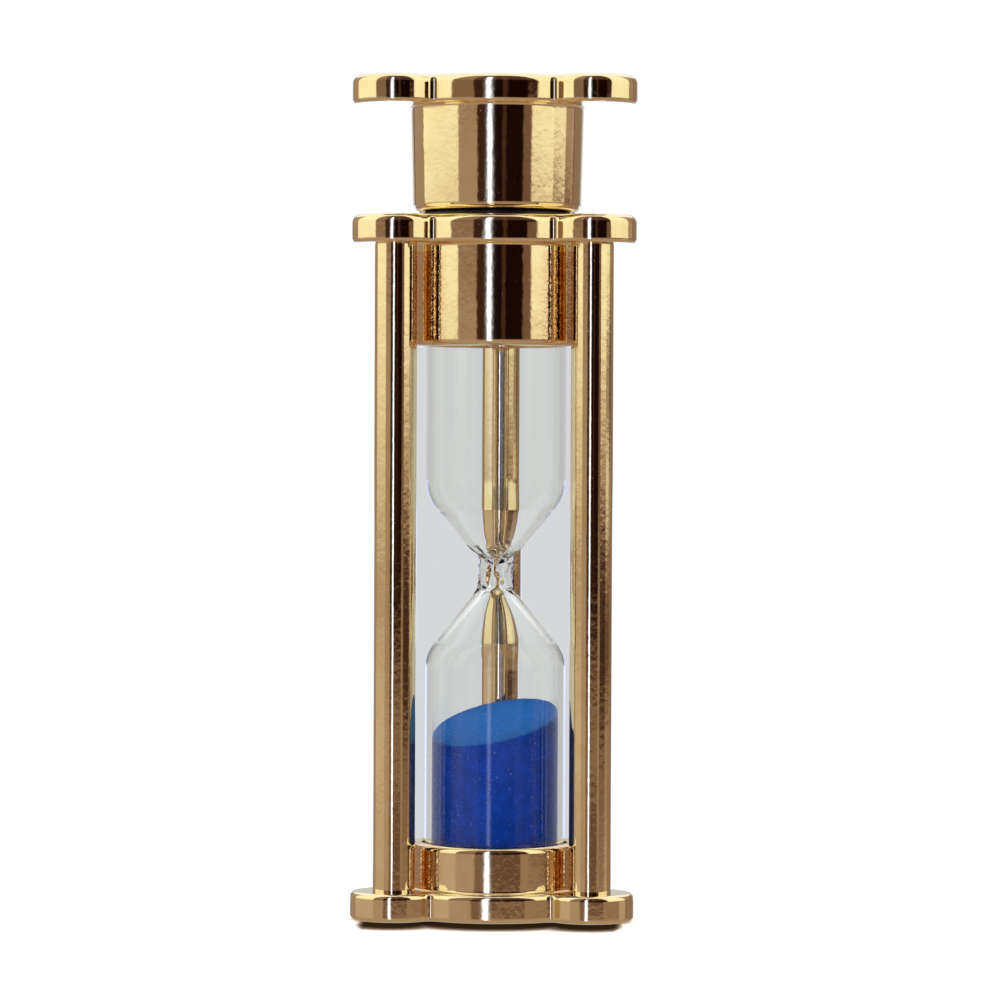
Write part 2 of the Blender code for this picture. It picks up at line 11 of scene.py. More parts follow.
import bpy
import numpy as np
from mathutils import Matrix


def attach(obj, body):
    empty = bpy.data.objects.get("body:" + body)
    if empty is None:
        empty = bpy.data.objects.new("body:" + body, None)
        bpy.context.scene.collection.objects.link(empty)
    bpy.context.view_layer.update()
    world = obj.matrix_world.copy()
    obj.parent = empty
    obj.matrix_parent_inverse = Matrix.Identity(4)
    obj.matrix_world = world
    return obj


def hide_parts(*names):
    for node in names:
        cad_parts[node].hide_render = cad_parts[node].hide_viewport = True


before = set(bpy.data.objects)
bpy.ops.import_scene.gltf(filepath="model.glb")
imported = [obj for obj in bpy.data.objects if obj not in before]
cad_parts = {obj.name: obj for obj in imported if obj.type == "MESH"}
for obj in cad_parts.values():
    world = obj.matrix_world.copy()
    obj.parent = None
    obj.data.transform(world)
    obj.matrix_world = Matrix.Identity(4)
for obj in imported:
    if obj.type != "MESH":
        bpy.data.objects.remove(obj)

Array = np.ndarray
Colour = tuple[float, float, float, float]
Ends = tuple[float, float]      # where a smooth step starts and ends
MM = 0.001
LOG = logging.getLogger("hourglass")
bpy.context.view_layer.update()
THIRDS = tuple(math.radians(degrees) for degrees in (90, 210, 330))      # the rear, left and right rod
LEAN = (0.185, 0.25)      # rise of the sand's surface along X and along Y


class Body(str, Enum):
    """The two bodies that the cap's slide joins."""

    GLASS = "hourglass"
    CAP = "cap"


# ---------------------------------------------------------------- measuring
class Gauge:
    """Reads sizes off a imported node's own mesh."""

    def __init__(self, node: str) -> None:
        """Takes the node's points.

        Args:
            node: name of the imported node.
        """
        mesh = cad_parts[node].data
        points = np.empty(len(mesh.vertices) * 3)
        mesh.vertices.foreach_get("co", points)
        self.points = points.reshape(-1, 3)
        self.low, self.high = self.points.min(axis=0), self.points.max(axis=0)
        self.middle = (self.low + self.high) / 2

    def radii(self, z_low: float, z_high: float) -> Array:
        """Distances from the Z axis of the points between two levels.

        Args:
            z_low: lower level.
            z_high: upper level.

        Returns:
            One radius for each point found.
        """
        z = self.points[:, 2]
        found = self.points[(z >= z_low) & (z <= z_high)]
        return np.hypot(found[:, 0], found[:, 1])

    def levels(self, r_low: float, r_high: float) -> Array:
        """Levels of the points whose distance from the Z axis is in a range.

        Args:
            r_low: smaller radius.
            r_high: larger radius.

        Returns:
            One level for each point found.
        """
        r = np.hypot(self.points[:, 0], self.points[:, 1])
        return self.points[(r >= r_low) & (r <= r_high), 2]


BASE, TOP, ROD = Gauge("base_plate"), Gauge("top_plate"), Gauge("pillar_rear")
ROD_CIRCLE = float(ROD.middle[1])
COLLAR_R = float(TOP.radii(TOP.low[2], TOP.low[2] + 0.4 * MM).max())
PLATE_TOP = float(BASE.levels(COLLAR_R + 0.2 * MM, 1.0).max())
UNDER_TOP = float(TOP.levels(COLLAR_R + 0.2 * MM, 1.0).min())


# ---------------------------------------------------------------- surfaces
def rounded_path(corners: list[tuple[float, float, float]], closed: bool, steps: int = 7) -> Array:
    """Outline of straight runs whose corners are arcs.

    An arc of radius R touches both its runs at R tan(turn / 2) from the corner.
    A holding point just before and after it keeps the straight runs' shading flat.

    Args:
        corners: (x, y, rounding) of each corner.
        closed: True where the last run returns to the first corner.
        steps: facets of each arc.

    Returns:
        Points of the outline, one row each.
    """
    at = np.array([corner[:2] for corner in corners])
    out: list[Array] = []
    for index, (_, _, rounding) in enumerate(corners):
        ends = not closed and index in (0, len(corners) - 1)
        before = at[index - 1] - at[index]
        after = at[(index + 1) % len(at)] - at[index]
        run_in, run_out = np.linalg.norm(before), np.linalg.norm(after)
        if ends or rounding <= 0:
            out.append(at[index][None])
            continue
        before, after = before / run_in, after / run_out
        half = math.acos(float(np.clip(before @ after, -1, 1))) / 2
        reach = rounding / math.tan(half)
        centre = at[index] + (before + after) / np.linalg.norm(before + after) * rounding / math.sin(half)
        first, last = at[index] + before * reach - centre, at[index] + after * reach - centre
        turn = math.pi - 2 * half
        share = np.linspace(0, 1, steps + 1)[:, None]
        arc = (np.sin((1 - share) * turn) * first + np.sin(share * turn) * last) / math.sin(turn)
        hold = min(0.06 * MM, 0.2 * (run_in - reach), 0.2 * (run_out - reach))
        lead = at[index] + before * (reach + hold)
        trail = at[index] + after * (reach + hold)
        out += [lead[None], centre + arc, trail[None]]
    return np.concatenate(out)


def finer(path: Array, spacing: float, low: float = -math.inf, high: float = math.inf) -> Array:
    """The same open path with points added to the runs between two levels.

    Args:
        path: rows whose second number is a level.
        spacing: longest run left there.
        low: lower level.
        high: upper level.

    Returns:
        The finer path.
    """
    runs = []
    for start, end in zip(path[:-1], path[1:]):
        inside = max(start[1], end[1]) > low and min(start[1], end[1]) < high
        count = max(1, math.ceil(float(np.linalg.norm(end - start)) / spacing)) if inside else 1
        share = np.arange(count)[:, None] / count
        runs.append(start + (end - start) * share)
    return np.concatenate([*runs, path[-1:]])


def circle(columns: int) -> Array:
    """Directions evenly round the Z axis, as columns of (cos, sin)."""
    angle = np.linspace(0, 2 * math.pi, columns, endpoint=False)
    return np.stack([np.cos(angle), np.sin(angle)], axis=1)


def grid_points(path: Array, ring: Array) -> Array:
    """Points of a turned surface: each path radius times each ring direction.

    Args:
        path: (radius, level) rows.
        ring: (cos, sin) columns.

    Returns:
        Array of rows x columns x 3.
    """
    flat = path[:, 0, None, None] * ring[None]
    level = np.broadcast_to(path[:, 1, None, None], flat.shape[:2] + (1,))
    return np.concatenate([flat, level], axis=2)


def grid_faces(rows: int, columns: int, closed: bool) -> Array:
    """Quads between neighbouring rows and columns; columns always wrap round.

    Args:
        rows: number of rows of points.
        columns: number of points in a row.
        closed: True where the last row joins the first.

    Returns:
        Four point numbers for each face.
    """
    low = np.arange(rows if closed else rows - 1)[:, None] * columns
    step = np.arange(columns)[None]
    after = (step + 1) % columns
    high = (low + columns) % (rows * columns)
    return np.stack([low + step, low + after, high + after, high + step], axis=2).reshape(-1, 4)


def signed_volume(points: Array, faces: Array) -> float:
    """Volume inside quads, by summed tetrahedra to the origin; negative if inside out."""
    a, b, c, d = (points[faces[:, k]] for k in range(4))
    return float((np.einsum("ij,ij->i", a, np.cross(b, c)) + np.einsum("ij,ij->i", a, np.cross(c, d))).sum())


def make_piece(name: str, points: Array, closed: bool, finish: "Finish", body: Body,
               stands_for: tuple[str, ...]) -> bpy.types.Object:
    """Puts a grid of points in a mesh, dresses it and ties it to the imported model.

    An open grid is shut at both ends by a fan to a point in the middle of the
    end ring. The faces are turned outwards if their volume comes out negative.

    Args:
        name: name of the piece.
        points: rows x columns x 3.
        closed: True where the rows join up, as on a ring.
        finish: what the surface is made of.
        body: the body that the piece moves with.
        stands_for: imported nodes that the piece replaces.

    Returns:
        The new object.
    """
    rows, columns = points.shape[:2]
    flat = points.reshape(-1, 3)
    faces = grid_faces(rows, columns, closed)
    if not closed:
        ends = np.stack([points[0].mean(axis=0), points[-1].mean(axis=0)])
        step = np.arange(columns)
        after = (step + 1) % columns
        first = np.full(columns, len(flat))
        last = np.full(columns, len(flat) + 1)
        top = (rows - 1) * columns
        fans = [np.stack([first, first, after, step], axis=1),
                np.stack([last, last, top + step, top + after], axis=1)]
        faces = np.concatenate([faces, *fans])
        flat = np.concatenate([flat, ends])
    if signed_volume(flat, faces) < 0:
        faces = faces[:, ::-1]
    polygons = [tuple(dict.fromkeys(face)) for face in faces.tolist()]
    mesh = bpy.data.meshes.new(name)
    mesh.from_pydata(flat.tolist(), [], polygons)
    mesh.validate()
    mesh.shade_smooth()
    piece = bpy.data.objects.new(name, mesh)
    bpy.context.collection.objects.link(piece)
    finish.dress(piece)
    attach(piece, body.value)
    if stands_for:
        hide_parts(*stands_for)
    LOG.info("%s: %d faces, %s", name, len(polygons), finish.slot)
    return piece


# ---------------------------------------------------------------- shader maths
class Signal:
    """One output socket of a shader graph, with Python's arithmetic."""

    def __init__(self, graph: "Graph", socket: bpy.types.NodeSocket) -> None:
        """Keeps the graph that new nodes go in.

        Args:
            graph: the graph.
            socket: the output socket.
        """
        self.graph, self.socket = graph, socket

    def maths(self, operation: str, *others: "Signal | float") -> "Signal":
        """Math node on this value and any others that it takes."""
        return self.graph.node("ShaderNodeMath", {"operation": operation}, dict(enumerate((self, *others))))

    def __add__(self, other: "Signal | float") -> "Signal":
        """self + other."""
        return self.maths("ADD", other)

    __radd__ = __add__

    def __sub__(self, other: "Signal | float") -> "Signal":
        """self - other."""
        return self.maths("SUBTRACT", other)

    def __rsub__(self, other: float) -> "Signal":
        """other - self."""
        return self.graph.node("ShaderNodeMath", {"operation": "SUBTRACT"}, {0: other, 1: self})

    def __mul__(self, other: "Signal | float") -> "Signal":
        """self * other."""
        return self.maths("MULTIPLY", other)

    __rmul__ = __mul__

    def __truediv__(self, other: "Signal | float") -> "Signal":
        """self / other."""
        return self.maths("DIVIDE", other)

    def __pow__(self, other: float) -> "Signal":
        """self to a power."""
        return self.maths("POWER", other)

    def __neg__(self) -> "Signal":
        """-self."""
        return self.maths("MULTIPLY", -1.0)

    def step(self, low: float, high: float) -> "Signal":
        """0 below low, 1 above high and a smooth rise between; falls where low > high.

        Args:
            low: where the rise starts.
            high: where it ends.

        Returns:
            The mask.
        """
        ends = {1: low, 2: high} if low < high else {1: high, 2: low, 3: 1.0, 4: 0.0}
        return self.graph.node("ShaderNodeMapRange", {"interpolation_type": "SMOOTHSTEP"}, {0: self, **ends})


class Graph:
    """A node tree that is built by expressions."""

    def __init__(self, tree: bpy.types.NodeTree) -> None:
        """Empties the tree.

        Args:
            tree: the node tree of a material or a world.
        """
        self.tree = tree
        tree.nodes.clear()

    def node(self, kind: str, settings: dict | None = None, inputs: dict | None = None,
             output: int | str = 0) -> Signal:
        """Adds one node.

        Args:
            kind: the node's type.
            settings: its properties; "stops" holds a ramp's (place, grey) pairs.
            inputs: values or links of its sockets, by name or number.
            output: the socket to return.

        Returns:
            The chosen output.
        """
        node = self.tree.nodes.new(kind)
        for key, value in (settings or {}).items():
            if key == "stops":
                self._stops(node.color_ramp, value)
            else:
                setattr(node, key, value)
        for key, value in (inputs or {}).items():
            if isinstance(value, Signal):
                self.tree.links.new(value.socket, node.inputs[key])
            else:
                node.inputs[key].default_value = value
        return Signal(self, node.outputs[output]) if node.outputs else None

    @staticmethod
    def _stops(ramp: bpy.types.ColorRamp, stops: list[tuple[float, float]]) -> None:
        """Sets the stops of a ramp.

        Args:
            ramp: the ramp.
            stops: (place, grey) of each stop.
        """
        while len(ramp.elements) > 1:
            ramp.elements.remove(ramp.elements[-1])
        for index, (place, grey) in enumerate(stops):
            element = ramp.elements[0] if index == 0 else ramp.elements.new(place)
            element.position = place
            element.color = (grey, grey, grey, 1)

    def mix(self, mask: Signal | float, low: "Signal | tuple", high: "Signal | tuple") -> Signal:
        """Colour between low, where the mask is 0, and high, where it is 1."""
        return self.node("ShaderNodeMix", {"data_type": "RGBA"}, {0: mask, 6: low, 7: high}, output=2)

    def rgb(self, red: Signal, green: Signal, blue: Signal) -> Signal:
        """Colour of three values."""
        return self.node("ShaderNodeCombineColor", inputs={0: red, 1: green, 2: blue})

    def place(self) -> Signal:
        """Point on the piece, in metres."""
        return self.node("ShaderNodeTexCoord", output="Object")

    def parts(self, vector: Signal) -> tuple[Signal, Signal, Signal]:
        """X, Y and Z of a vector."""
        split = self.node("ShaderNodeSeparateXYZ", inputs={0: vector})
        return tuple(Signal(self, output) for output in split.socket.node.outputs)

    def noise(self, size: float, detail: float, stretch: float = 1.0) -> Signal:
        """Noise about 0.5 whose blobs are one size across.

        Args:
            size: width of a blob, in metres.
            detail: octaves of finer noise.
            stretch: length of a blob along Z, in widths.

        Returns:
            The noise, 0 to 1.
        """
        scale = (1 / size, 1 / size, 1 / (size * stretch))
        where = self.node("ShaderNodeMapping", inputs={"Vector": self.place(), "Scale": scale})
        return self.node("ShaderNodeTexNoise", inputs={"Vector": where, "Scale": 1.0, "Detail": detail})

    def bump(self, height: Signal, distance: float, under: Signal | None = None) -> Signal:
        """Normal of a surface raised by height times distance.

        Args:
            height: 0 to 1.
            distance: height of 1, in metres.
            under: normal of a coarser bump below this one.

        Returns:
            The normal.
        """
        inputs = {"Height": height, "Distance": distance, "Strength": 1.0}
        if under is not None:
            inputs["Normal"] = under
        return self.node("ShaderNodeBump", inputs=inputs)


# ---------------------------------------------------------------- finishes
def shade(colour: tuple[float, float, float], amount: float = 1.0) -> Colour:
    """Opaque colour, darker or lighter by an amount."""
    return tuple(min(1.0, amount * part) for part in colour) + (1,)


def spread(x: Signal, y: Signal, angle: float, radius: float) -> Signal:
    """Squared distance in plan from a place that is given round the Z axis.

    Args:
        x: X of the point.
        y: Y of the point.
        angle: direction of the place from the axis.
        radius: its distance from the axis.

    Returns:
        The square of the distance.
    """
    across = x - radius * math.cos(angle)
    along = y - radius * math.sin(angle)
    return across * across + along * along


@dataclass(frozen=True)
class Finish:
    """A plain Principled surface; its kinds add what changes over the surface."""

    slot: str
    colour: tuple[float, float, float]
    roughness: float
    metallic: float = 0.0
    extra: tuple[tuple[str, float], ...] = ()
    patches: float = 1.2 * MM
    texture: float = 0.12 * MM

    def changes(self, graph: Graph) -> dict:
        """What varies over the surface: slow patches of tone and a fine texture.

        Args:
            graph: the material's graph.

        Returns:
            Links by socket name.
        """
        tone = graph.noise(self.patches, 3.0)
        fine = graph.noise(self.texture, 2.0)
        dark, light = shade(self.colour, 0.82), shade(self.colour, 1.12)
        return {"Base Color": graph.mix(tone.step(0.3, 0.7), dark, light),
                "Roughness": self.roughness + (fine - 0.5) * 0.12,
                "Normal": graph.bump(fine, 0.002 * MM)}

    def material(self) -> bpy.types.Material:
        """The finish's material, made once.

        Returns:
            The material.
        """
        name = f"{self.slot}_finish"
        if name in bpy.data.materials:
            return bpy.data.materials[name]
        material = bpy.data.materials.new(name)
        material.use_nodes = True
        graph = Graph(material.node_tree)
        inputs = {"Base Color": shade(self.colour), "Roughness": self.roughness, "Metallic": self.metallic}
        inputs |= dict(self.extra)
        inputs |= self.changes(graph)
        shader = graph.node("ShaderNodeBsdfPrincipled", inputs=inputs)
        graph.node("ShaderNodeOutputMaterial", inputs={"Surface": shader})
        return material

    def dress(self, piece: bpy.types.Object) -> None:
        """Gives a piece this finish alone."""
        piece.data.materials.clear()
        piece.data.materials.append(self.material())


@dataclass(frozen=True)
class GoldPlate(Finish):
    """Pale gold plating, polished by tumbling: long waves, fine ripple and a few pits.

    Where the collars face the rods the casting is left grainy, and a
    copper-brown painted reflection there stands for the light of gold on
    gold. Waves, ripples, pits and grains are each (width, height).
    """

    waves: tuple[float, float] = (1.1 * MM, 0.0065 * MM)
    ripples: tuple[float, float] = (0.42 * MM, 0.0042 * MM)
    pits: tuple[float, float] = (0.15 * MM, 0.0040 * MM)
    grains: tuple[float, float] = (0.26 * MM, 0.012 * MM)
    haze: float = 2.4 * MM
    worn: tuple[float, float, float] = (0.96, 0.93, 0.88)      # what wear leaves of the colour
    # copper-brown painted reflection of gold on gold, where the collars face the rods
    painted_bounce_colour: tuple[float, float, float] = (0.74, 0.40, 0.21)
    bounce_reach: tuple[float, float] = (5.6 * MM, 3.6 * MM)      # from a rod's middle: no painted reflection, and full
    collar_r: float = COLLAR_R + 0.4 * MM
    levels: tuple[float, float] = (PLATE_TOP + 0.1 * MM, UNDER_TOP - 0.8 * MM)      # of the flanks with the painted reflection
    edge: float = 0.1 * MM

    def painted_bounce_mask(self, graph: Graph) -> Signal:
        """Mask of the collars' flanks near the rods, where the reflection of gold on gold is painted.

        Args:
            graph: the material's graph.

        Returns:
            1 close to a rod and 0 elsewhere.
        """
        x, y, z = graph.parts(graph.place())
        mask = 0.0
        for third in THIRDS:
            mask = mask + spread(x, y, third, ROD_CIRCLE).step(self.bounce_reach[0] ** 2, self.bounce_reach[1] ** 2)
        inside = (x * x + y * y).step((self.collar_r + self.edge) ** 2, self.collar_r ** 2)
        low, high = self.levels
        return mask * inside * z.step(low - self.edge, low) * z.step(high + self.edge, high)

    def changes(self, graph: Graph) -> dict:
        """Waves of the casting under the plating, ripple of the polish, sparse pits and the painted
        reflection near the rods.

        Args:
            graph: the material's graph.

        Returns:
            Links by socket name.
        """
        waves = graph.bump(graph.noise(self.waves[0], 1.0, 1.6), self.waves[1])
        rippled = graph.bump(graph.noise(self.ripples[0], 1.5, 1.2), self.ripples[1], waves)
        pits = graph.noise(self.pits[0], 1.0).step(0.76, 0.84)
        bounce_flank = self.painted_bounce_mask(graph)
        grains = graph.noise(self.grains[0], 1.0)
        rough = (1 - pits) * (self.pits[1] / self.grains[1]) + grains * bounce_flank
        haze = graph.noise(self.haze, 3.0)
        worn = tuple(part * left for part, left in zip(self.colour, self.worn)) + (1,)
        plated = graph.mix(haze.step(0.35, 0.7), shade(self.colour), worn)
        # painted reflection: copper-brown on the collars' flanks near the rods, for the light that gold
        # throws on gold
        painted_bounce = bounce_flank * (0.35 + grains.step(0.35, 0.65) * 0.45)
        return {"Base Color": graph.mix(painted_bounce, plated, shade(self.painted_bounce_colour)),
                "Roughness": self.roughness + haze * 0.03 + pits * 0.1,
                "Normal": graph.bump(rough, self.grains[1], rippled)}


@dataclass(frozen=True)
class BlownGlass(Finish):
    """Clear glass with the faint draw lines of its tube."""

    def changes(self, graph: Graph) -> dict:
        """Long shallow waves along the tube."""
        return {"Normal": graph.bump(graph.noise(1.6 * MM, 1.0, 6), 0.004 * MM)}


@dataclass(frozen=True)
class DyedSand(Finish):
    """Fine dyed grains, the open top painted paler partly as the sheen of its lit face and partly as paler
    grains, and painted glints on a few grains.
    """

    patches: float = 1.3 * MM
    grain: float = 0.15 * MM
    # colour of the top, painted paler: partly the sheen of its lit face, partly paler grains
    pale: tuple[float, float, float] = (0.040, 0.270, 0.97)
    # colour of the painted glints
    bright: tuple[float, float, float] = (0.25, 0.55, 1.0)
    level: float = 19.3 * MM      # of the open top, on the axis
    rim: tuple[float, float] = (-0.35 * MM, -0.08 * MM)      # below the top: where it starts and is full

    def changes(self, graph: Graph) -> dict:
        """Grain by grain colour, a top painted paler and painted glints on a few grains.

        Args:
            graph: the material's graph.

        Returns:
            Links by socket name.
        """
        x, y, z = graph.parts(graph.place())
        top = (z - x * LEAN[0] - y * LEAN[1] - self.level).step(*self.rim)
        size = {"Vector": graph.place(), "Scale": 1 / self.grain}
        grain, other, _ = graph.parts(graph.node("ShaderNodeTexVoronoi", inputs=size, output="Color"))
        cells = graph.node("ShaderNodeTexVoronoi", inputs=size, output="Distance")
        patch = graph.noise(self.patches, 3.0).step(0.3, 0.7)
        body = graph.mix(grain * 0.6 + patch * 0.4, shade(self.colour, 0.72), shade(self.colour, 1.28))
        # top painted paler: partly the sheen of its lit face, partly paler grains
        light = graph.mix(grain, shade(self.pale, 0.78), shade(self.pale, 1.15))
        # painted glints: a few grains brighter in colour, and smoother
        glint = other.step(0.985, 0.99)
        return {"Base Color": graph.mix(glint * 0.30, graph.mix(top, body, light), shade(self.bright)),
                "Roughness": self.roughness - glint * 0.4,
                "Normal": graph.bump(1 - cells, 0.05 * MM)}


GOLD = GoldPlate("gold_plate", (0.960, 0.810, 0.500), 0.05, 1.0)
GLASS = BlownGlass("glass", (0.985, 0.995, 0.992), 0.0, 0.0, (("Transmission Weight", 1.0), ("IOR", 1.39)))
SAND = DyedSand("blue_sand", (0.001, 0.090, 0.72), 0.75, 0.0, (("Specular IOR Level", 0.02),))
RUBBER = Finish("rubber", (0.72, 0.71, 0.67), 0.65)
FOAM = Finish("foam", (0.78, 0.76, 0.70), 0.9)
BLACK = Finish("black_plastic", (0.018, 0.018, 0.019), 0.38)
STEEL = Finish("plug_steel", (0.74, 0.745, 0.75), 0.22, 1.0)
CONTACT = Finish("contact_gold", (0.94, 0.72, 0.34), 0.2, 1.0)
BOARD = Finish("board_green", (0.015, 0.17, 0.06), 0.4)
CHIP = Finish("chip_black", (0.028, 0.028, 0.03), 0.6)
SCREW = Finish("screw_steel", (0.58, 0.58, 0.59), 0.3, 1.0)


# ---------------------------------------------------------------- castings
@dataclass(frozen=True)
class LobedOutline:
    """Disc with a lobe over each pillar and a hollow corner between them."""

    disc_r: float = -BASE.low[1]
    lobe_r: float = BASE.high[1] - ROD_CIRCLE
    hollow_r: float = 0.8 * MM
    lobe_steps: int = 56
    hollow_steps: int = 9
    disc_steps: int = 44

    def ring(self, inset: float) -> Array:
        """Points of the outline drawn inwards.

        The hollow corner's centre is hollow_r outside both circles, so the
        triangle of the three centres has known sides and gives its place.

        Args:
            inset: how far inwards.

        Returns:
            One (x, y) row for each point, once round.
        """
        out, lobe_out = self.disc_r + self.hollow_r, self.lobe_r + self.hollow_r
        turn = math.acos((out ** 2 + ROD_CIRCLE ** 2 - lobe_out ** 2) / (2 * out * ROD_CIRCLE))
        centre = out * np.array([math.cos(turn), math.sin(turn)])
        facing = math.atan2(centre[1], centre[0] - ROD_CIRCLE)

        def arc(x: float, y: float, radius: float, start: float, end: float, steps: int) -> Array:
            """Points of an arc, both ends included."""
            angle = np.linspace(start, end, steps + 1)
            return np.stack([x + radius * np.cos(angle), y + radius * np.sin(angle)], axis=1)

        lobe = arc(ROD_CIRCLE, 0, self.lobe_r - inset, -facing, facing, self.lobe_steps)
        hollow = arc(*centre, self.hollow_r + inset, facing + math.pi, turn + math.pi, self.hollow_steps)
        edge = arc(0, 0, self.disc_r - inset, turn, 2 * math.pi / 3 - turn, self.disc_steps)
        third = np.concatenate([hollow[:0:-1] * (1, -1), lobe, hollow[1:], edge[1:-1]])
        turns = [third @ np.array([[math.cos(way), math.sin(way)], [-math.sin(way), math.cos(way)]])
                 for way in THIRDS]
        return np.concatenate(turns)

    def surface(self, path: Array, lobed_from: float) -> Array:
        """Points of a casting whose rim follows the outline and whose rest is round.

        Rows whose radius is over lobed_from are drawn at that distance inside
        disc_r along the whole outline. The other rows are circles, with a point
        in the direction of each point of the outline.

        Args:
            path: (radius, level) rows.
            lobed_from: radius at which rows start to follow the outline.

        Returns:
            Array of rows x columns x 3.
        """
        base = self.ring(0.0)
        points = grid_points(path, base / np.linalg.norm(base, axis=1, keepdims=True))
        for row in np.flatnonzero(path[:, 0] > lobed_from):
            points[row, :, :2] = self.ring(self.disc_r - path[row, 0])
        return points


def cut_out(piece: bpy.types.Object, points: Array) -> None:
    """Cuts a solid out of a piece for good.

    Args:
        piece: the object to cut.
        points: rows x columns x 3 of the solid, whose end rings are filled.
    """
    rows, columns = points.shape[:2]
    flat = points.reshape(-1, 3)
    faces = grid_faces(rows, columns, False)
    lids = [list(range(columns))[::-1], list(range((rows - 1) * columns, rows * columns))]
    if signed_volume(flat, faces) < 0:
        faces, lids = faces[:, ::-1], [lid[::-1] for lid in lids]
    solid = bpy.data.meshes.new("cutter")
    solid.from_pydata(flat.tolist(), [], faces.tolist() + lids)
    tool = bpy.data.objects.new("cutter", solid)
    bpy.context.collection.objects.link(tool)
    step = piece.modifiers.new("cut", "BOOLEAN")
    step.operation, step.solver, step.object = "DIFFERENCE", "EXACT", tool
    seen = piece.evaluated_get(bpy.context.evaluated_depsgraph_get())
    mesh = bpy.data.meshes.new_from_object(seen)
    piece.modifiers.clear()
    piece.data = mesh
    mesh.shade_smooth()
    mesh.set_sharp_from_angle(angle=math.radians(40))
    bpy.data.objects.remove(tool, do_unlink=True)


@dataclass
class Castings:
    """The three gold castings and the rods between them."""

    edge_r: float = 0.52 * MM
    upper_r: float = 0.80 * MM
    lower_r: float = 0.38 * MM
    rim_r: float = 0.58 * MM
    lip_r: float = 0.25 * MM
    root_r: float = 0.22 * MM
    bore_edge_r: float = 0.05 * MM
    cap_lip_r: float = 0.72 * MM
    cap_taper: float = 0.25 * MM
    pole_r: float = 0.3 * MM      # innermost row, which a fan closes
    sink_gap: float = 0.1 * MM
    sink_depth: float = 0.75 * MM
    pilot_depth: float = 0.4 * MM
    seat: float = 0.05 * MM
    rod_columns: int = 72
    outline: LobedOutline = field(default_factory=LobedOutline)

    def lobed(self, path: Array, barrel_r: float) -> Array:
        """Points of a casting whose rows outside its barrel follow the outline."""
        return self.outline.surface(path, barrel_r + self.root_r + 0.1 * MM)

    def foot(self) -> None:
        """Base plate: foot, short collar, the pocket under the glass and the sunk screw holes."""
        disc, top = self.outline.disc_r, BASE.high[2]
        pocket = float(BASE.radii(top - 0.1 * MM, top).min())
        inner = BASE.levels(0, pocket + 0.1 * MM)
        floor = float(inner[inner > 1 * MM].min())
        path = rounded_path([
            (self.pole_r, 0, 0), (disc, 0, self.edge_r), (disc, PLATE_TOP, self.edge_r),
            (COLLAR_R, PLATE_TOP, self.root_r), (COLLAR_R, top, self.rim_r), (pocket, top, self.lip_r),
            (pocket, floor, self.lip_r), (self.pole_r, floor, 0)], False)
        points = self.lobed(path, COLLAR_R)
        piece = make_piece("foot_casting", points, False, GOLD, Body.GLASS, ("base_plate",))
        for number in (1, 2, 3):
            self.sink_screw(piece, Gauge(f"base_screw_{number}"))

    def sink_screw(self, piece: bpy.types.Object, screw: Gauge) -> None:
        """Cuts a countersunk hole and its pilot round a base screw.

        Args:
            piece: the foot.
            screw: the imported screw.
        """
        core, below = 0.2 * MM, -0.5 * MM
        head_r = (screw.high[0] - screw.low[0]) / 2 + self.sink_gap
        depth = screw.low[2] + self.sink_depth
        end = depth + self.pilot_depth
        path = np.array([(core, below), (head_r, below), (head_r, screw.low[2]),
                         (head_r / 2, depth), (head_r / 2, end), (core, end)])
        cut_out(piece, grid_points(path, circle(40)) + (screw.middle[0], screw.middle[1], 0))

    def head(self) -> None:
        """Top plate: lobed plate over the deep collar, bored in three steps."""
        disc, low, high = self.outline.disc_r, TOP.low[2], TOP.high[2]
        pocket = float(TOP.radii(low, low + 0.1 * MM).min())
        chamber = float(TOP.radii(low, high).min())
        shelves = TOP.levels(chamber - 0.05 * MM, chamber + 0.05 * MM)
        recess = float(TOP.radii(high - 0.1 * MM, high).min())
        path = rounded_path([
            (pocket, low, self.lip_r), (COLLAR_R, low, self.rim_r), (COLLAR_R, UNDER_TOP, self.root_r),
            (disc, UNDER_TOP, self.lower_r), (disc, high, self.upper_r), (recess, high, self.lip_r),
            (recess, shelves.max(), self.bore_edge_r), (chamber, shelves.max(), self.bore_edge_r),
            (chamber, shelves.min(), self.bore_edge_r), (pocket, shelves.min(), self.bore_edge_r)], True)
        make_piece("head_casting", self.lobed(path, COLLAR_R), True, GOLD, Body.GLASS, ("top_plate",))

    def cap_casting(self) -> None:
        """Cap: lobed plate over a barrel that narrows a little to its mouth."""
        cap, disc = Gauge("cap_shell"), self.outline.disc_r
        low, high = cap.low[2], cap.high[2]
        mouth = float(cap.radii(low, low + 0.4 * MM).max())
        bore = float(cap.radii(low, low + 0.1 * MM).min())
        inner = cap.levels(0, bore + 0.05 * MM)
        roof = float(inner[inner < high - 0.2 * MM].max())
        under = float(cap.levels(disc - 0.9 * MM, 1.0).min())
        barrel = mouth + self.cap_taper
        path = rounded_path([
            (self.pole_r, roof, 0), (bore, roof, self.lip_r), (bore, low, self.lip_r),
            (mouth, low, self.cap_lip_r), (barrel, under, self.root_r), (disc, under, self.lower_r),
            (disc, high, self.upper_r), (self.pole_r, high, 0)], False)
        make_piece("cap_casting", self.lobed(path, barrel), False, GOLD, Body.CAP, ("cap_shell",))

    def rods(self) -> None:
        """Three rods, each a hair into the plates that it stands between."""
        core, edge_r, radius = 0.1 * MM, 0.04 * MM, (ROD.high[0] - ROD.low[0]) / 2
        low, high = PLATE_TOP - self.seat, UNDER_TOP + self.seat
        path = rounded_path([(core, low, 0), (radius, low, edge_r), (radius, high, edge_r), (core, high, 0)],
                            False, 3)
        for side in ("left", "right", "rear"):
            middle = Gauge(f"pillar_{side}").middle
            points = grid_points(path, circle(self.rod_columns)) + (middle[0], middle[1], 0)
            make_piece(f"rod_{side}", points, False, GOLD, Body.GLASS, (f"pillar_{side}",))

    def build(self) -> None:
        """The castings from the bottom up, then the rods."""
        self.foot()
        self.head()
        self.cap_casting()
        self.rods()


